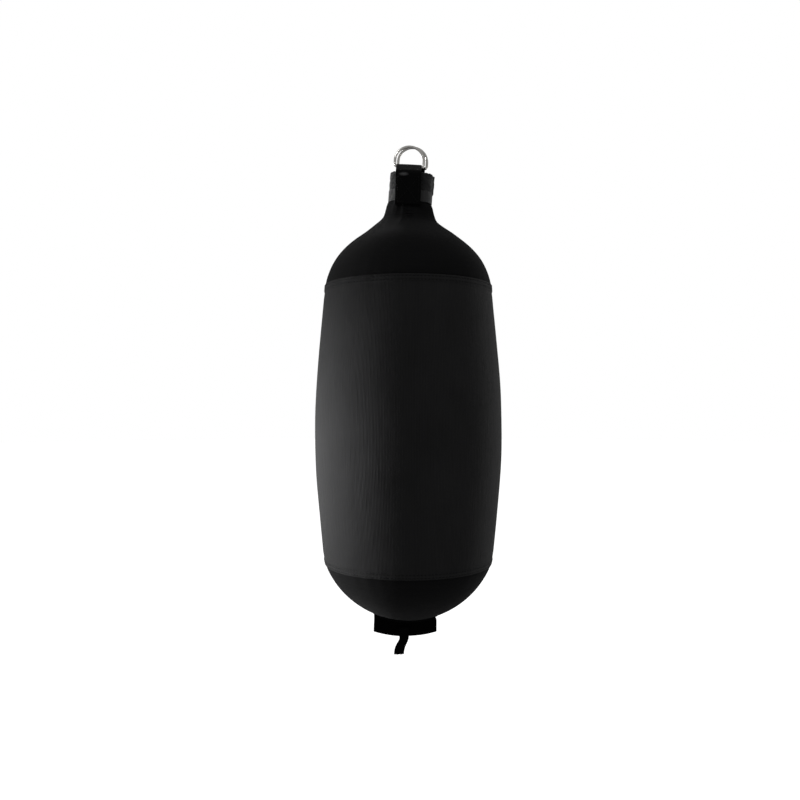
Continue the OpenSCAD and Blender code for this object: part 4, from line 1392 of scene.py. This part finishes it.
def bladder():
    """The air bladder: film under the cover, with a pocket for the valve."""
    top_run, low_run = float(run_at_height(NECK_FOOT_Z - 14)), float(run_at_radius(POCKET_R + 7))
    run = np.linspace(top_run, low_run, 96)[:, None]
    angle = once_round(180)
    side = raised(angle, run, -BLADDER_DEPTH + 0 * angle * run)
    first, lip = side[0].mean(axis=0), side[-1, :, 2].mean()
    crown = []
    for share in np.linspace(0.02, 0.94, 14):
        line = first + (side[0] - first) * share
        line[:, 2] = first[2] + 9 * math.cos(share * math.pi / 2)
        crown.append(line)
    pocket = np.vstack([
        bezier((POCKET_R + 5, lip + 0.2), (POCKET_R + 1, lip - 0.6), (POCKET_R, lip + 0.8),
               (POCKET_R, lip + 4), 8),
        bezier((POCKET_R, FLOOR_Z - 4), (POCKET_R, FLOOR_Z - 1), (POCKET_R - 1, FLOOR_Z),
               (POCKET_R - 4, FLOOR_Z), 6),
        [(POCKET_R - 5, FLOOR_Z), (28, FLOOR_Z), (24, FLOOR_Z), (20.5, FLOOR_Z)]])
    grid = np.concatenate([crown, side, around(pocket[:, :1], angle, pocket[:, 1:])])
    return build("bladder_film", [sheet_parts(grid, FILM_T, wrap=True, above=0)], "film", "bladder")


bladder()

FLANGE_R, FLANGE_HOLE_R, FLANGE_T = 30.0, 14.1, 1.2
WELD_INNER_R, WELD_OUTER_R = 19.5, 28.5
FLANGE_Z = FLOOR_Z - 0.05 - FLANGE_T / 2


def weld_flange():
    """The film ring that joins the valve to the bladder, pressed with rows of welds."""
    angle = once_round(120)
    r = np.linspace(FLANGE_HOLE_R + 0.6, FLANGE_R - 0.6, 60)[:, None]
    welded = smoothstep((r - WELD_INNER_R) / 1.5) * smoothstep((WELD_OUTER_R - r) / 1.5)
    welds = (0.16 * np.cos(r * TURN / 2.2) + 0.08 * np.cos(60 * angle)) * welded
    parts = [sheet_parts(around(r, angle, FLANGE_Z), FLANGE_T - 0.1, wrap=True, under=welds)]
    build("weld_flange", parts, "film", "valve_flange")


weld_flange()

SPRING_TOP_Z, SPRING_L = FLOOR_Z - 0.05, 6.9
SPRING_R, SPRING_WIRE_R, SPRING_TURNS = 3.5, 0.35, 4


def poppet_spring():
    """The poppet's spring, with closed end coils."""
    share = np.linspace(0, 1, 200)
    level = smoothstep((share - 0.06) / 0.88) * 0.55 + 0.45 * share
    a = share * SPRING_TURNS * TURN
    bottom = SPRING_TOP_Z - SPRING_L + SPRING_WIRE_R
    line = np.stack([BODY_X + SPRING_R * np.cos(a), SPRING_R * np.sin(a),
                     bottom + (SPRING_L - 2 * SPRING_WIRE_R) * level], 1)
    piece = build("poppet_coil", [tube_parts(line, SPRING_WIRE_R, 10, up=(0, 0, 1))],
                  "spring_steel", "poppet_spring")
    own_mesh(piece)


poppet_spring()

TETHER_Z = FLOOR_Z - 3.45
TETHER_END_Z = TETHER_Z - 5.9
TETHER_T = 0.9
SPOUT_R, CAP_R = 12.0, 15.5


def cap_tether():
    """A rubber washer on the spout, with a strap down to the cap."""
    washer_r = np.linspace(CAP_R - 0.1, SPOUT_R + 0.4, 8)[:, None]
    washer = around(washer_r, once_round(72), TETHER_Z)
    line = resample(np.vstack([
        [(14.0, TETHER_Z)],
        bezier((17, TETHER_Z), (24.5, TETHER_Z + 0.3), (25, TETHER_END_Z),
               (CAP_R + 2.2, TETHER_END_Z), 16),
        [(CAP_R + 1.2, TETHER_END_Z)]]), 0.5)
    y = np.linspace(-2.1, 2.1, 10)[None, :]
    strip = np.stack(np.broadcast_arrays(BODY_X + line[:, :1], y, line[:, 1:]), -1)
    parts = [sheet_parts(washer, TETHER_T, wrap=True), sheet_parts(strip, TETHER_T)]
    piece = build("cap_leash", parts, "rubber", "cap_tether", None)
    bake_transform(piece)


cap_tether()

KEPT = {"valve_housing": "valve_plastic", "valve_poppet": "valve_plastic",
        "poppet_seal": "rubber", "valve_cap": "valve_plastic", "cap_seal": "rubber"}
for node, slot in KEPT.items():
    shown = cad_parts[node]
    shown.data.materials.clear()
    shown.data.materials.append(MATERIALS[slot])


# ---------------------------------------------------------------- floor, light and camera

EYE_Z = -0.4009
CAMERA_DISTANCE = 1.235
FLOOR_LEVEL = -1.06


def stage_floor():
    """A pale round floor, well under the hanging object."""
    bpy.ops.mesh.primitive_circle_add(vertices=128, radius=14, fill_type="NGON",
                                      location=(0, 0, FLOOR_LEVEL))
    floor = bpy.context.object
    floor.name = "floor"
    pale = Shader("pale_floor", (0.86, 0.86, 0.86), 0.9, Specular_IOR_Level=0.1,
                  Emission_Color=(1, 1, 1), Emission_Strength=0.75)
    floor.data.materials.append(pale.material)
    floor.visible_diffuse = floor.visible_glossy = False      # the world lights the object alone


def soft_light(name, place, aim, size, power, spread=180):
    lamp = bpy.data.lights.new(name, "AREA")
    lamp.shape = "RECTANGLE"
    lamp.size, lamp.size_y = size
    lamp.energy = power
    lamp.spread = math.radians(spread)
    made = bpy.data.objects.new(name, lamp)
    bpy.context.scene.collection.objects.link(made)
    made.location = place
    direction = Vector(aim) - Vector(place)
    made.rotation_euler = direction.to_track_quat("-Z", "Y").to_euler()


def white_world(seen, lit):
    """A white backdrop that lights the object less than it shows."""
    world = bpy.data.worlds.new("studio")
    nodes = Nodes(world)
    strength = nodes.range(nodes.node("LightPath")["Is Camera Ray"], 0, 1, lit, seen)
    nodes.node("OutputWorld", nodes.node("Background", Color=(1, 1, 1), Strength=strength)[0])
    bpy.context.scene.world = world


stage_floor()
white_world(seen=1.0, lit=0.45)
soft_light("left_softbox", (-1.22, 0.14, -0.57), (-0.05, -0.05, -0.485), (0.5, 0.22), 2.8,
           spread=33)
soft_light("neck_softbox", (-1.2, 0.12, -0.10), (0, 0, -0.068), (0.3, 0.1), 0.28, spread=12)
soft_light("right_softbox", (1.3, 1.0, -0.40), (0, 0, -0.42), (0.5, 1.0), 7)
soft_light("top_light", (-0.5, -0.7, 0.75), (0, 0, -0.06), (0.25, 0.25), 3)

camera_data = bpy.data.cameras.new("camera")
camera_data.lens = 35.55
camera_data.sensor_width = 36
camera_data.shift_x = -0.0104
camera_data.shift_y = 0.00625
camera_data.clip_end = 60
camera = bpy.data.objects.new("camera", camera_data)
bpy.context.scene.collection.objects.link(camera)
camera.location = (BODY_X * MM, -CAMERA_DISTANCE, EYE_Z)
camera.rotation_euler = (math.pi / 2, 0, 0)
bpy.context.scene.camera = camera
bpy.context.scene.view_settings.view_transform = "Standard"
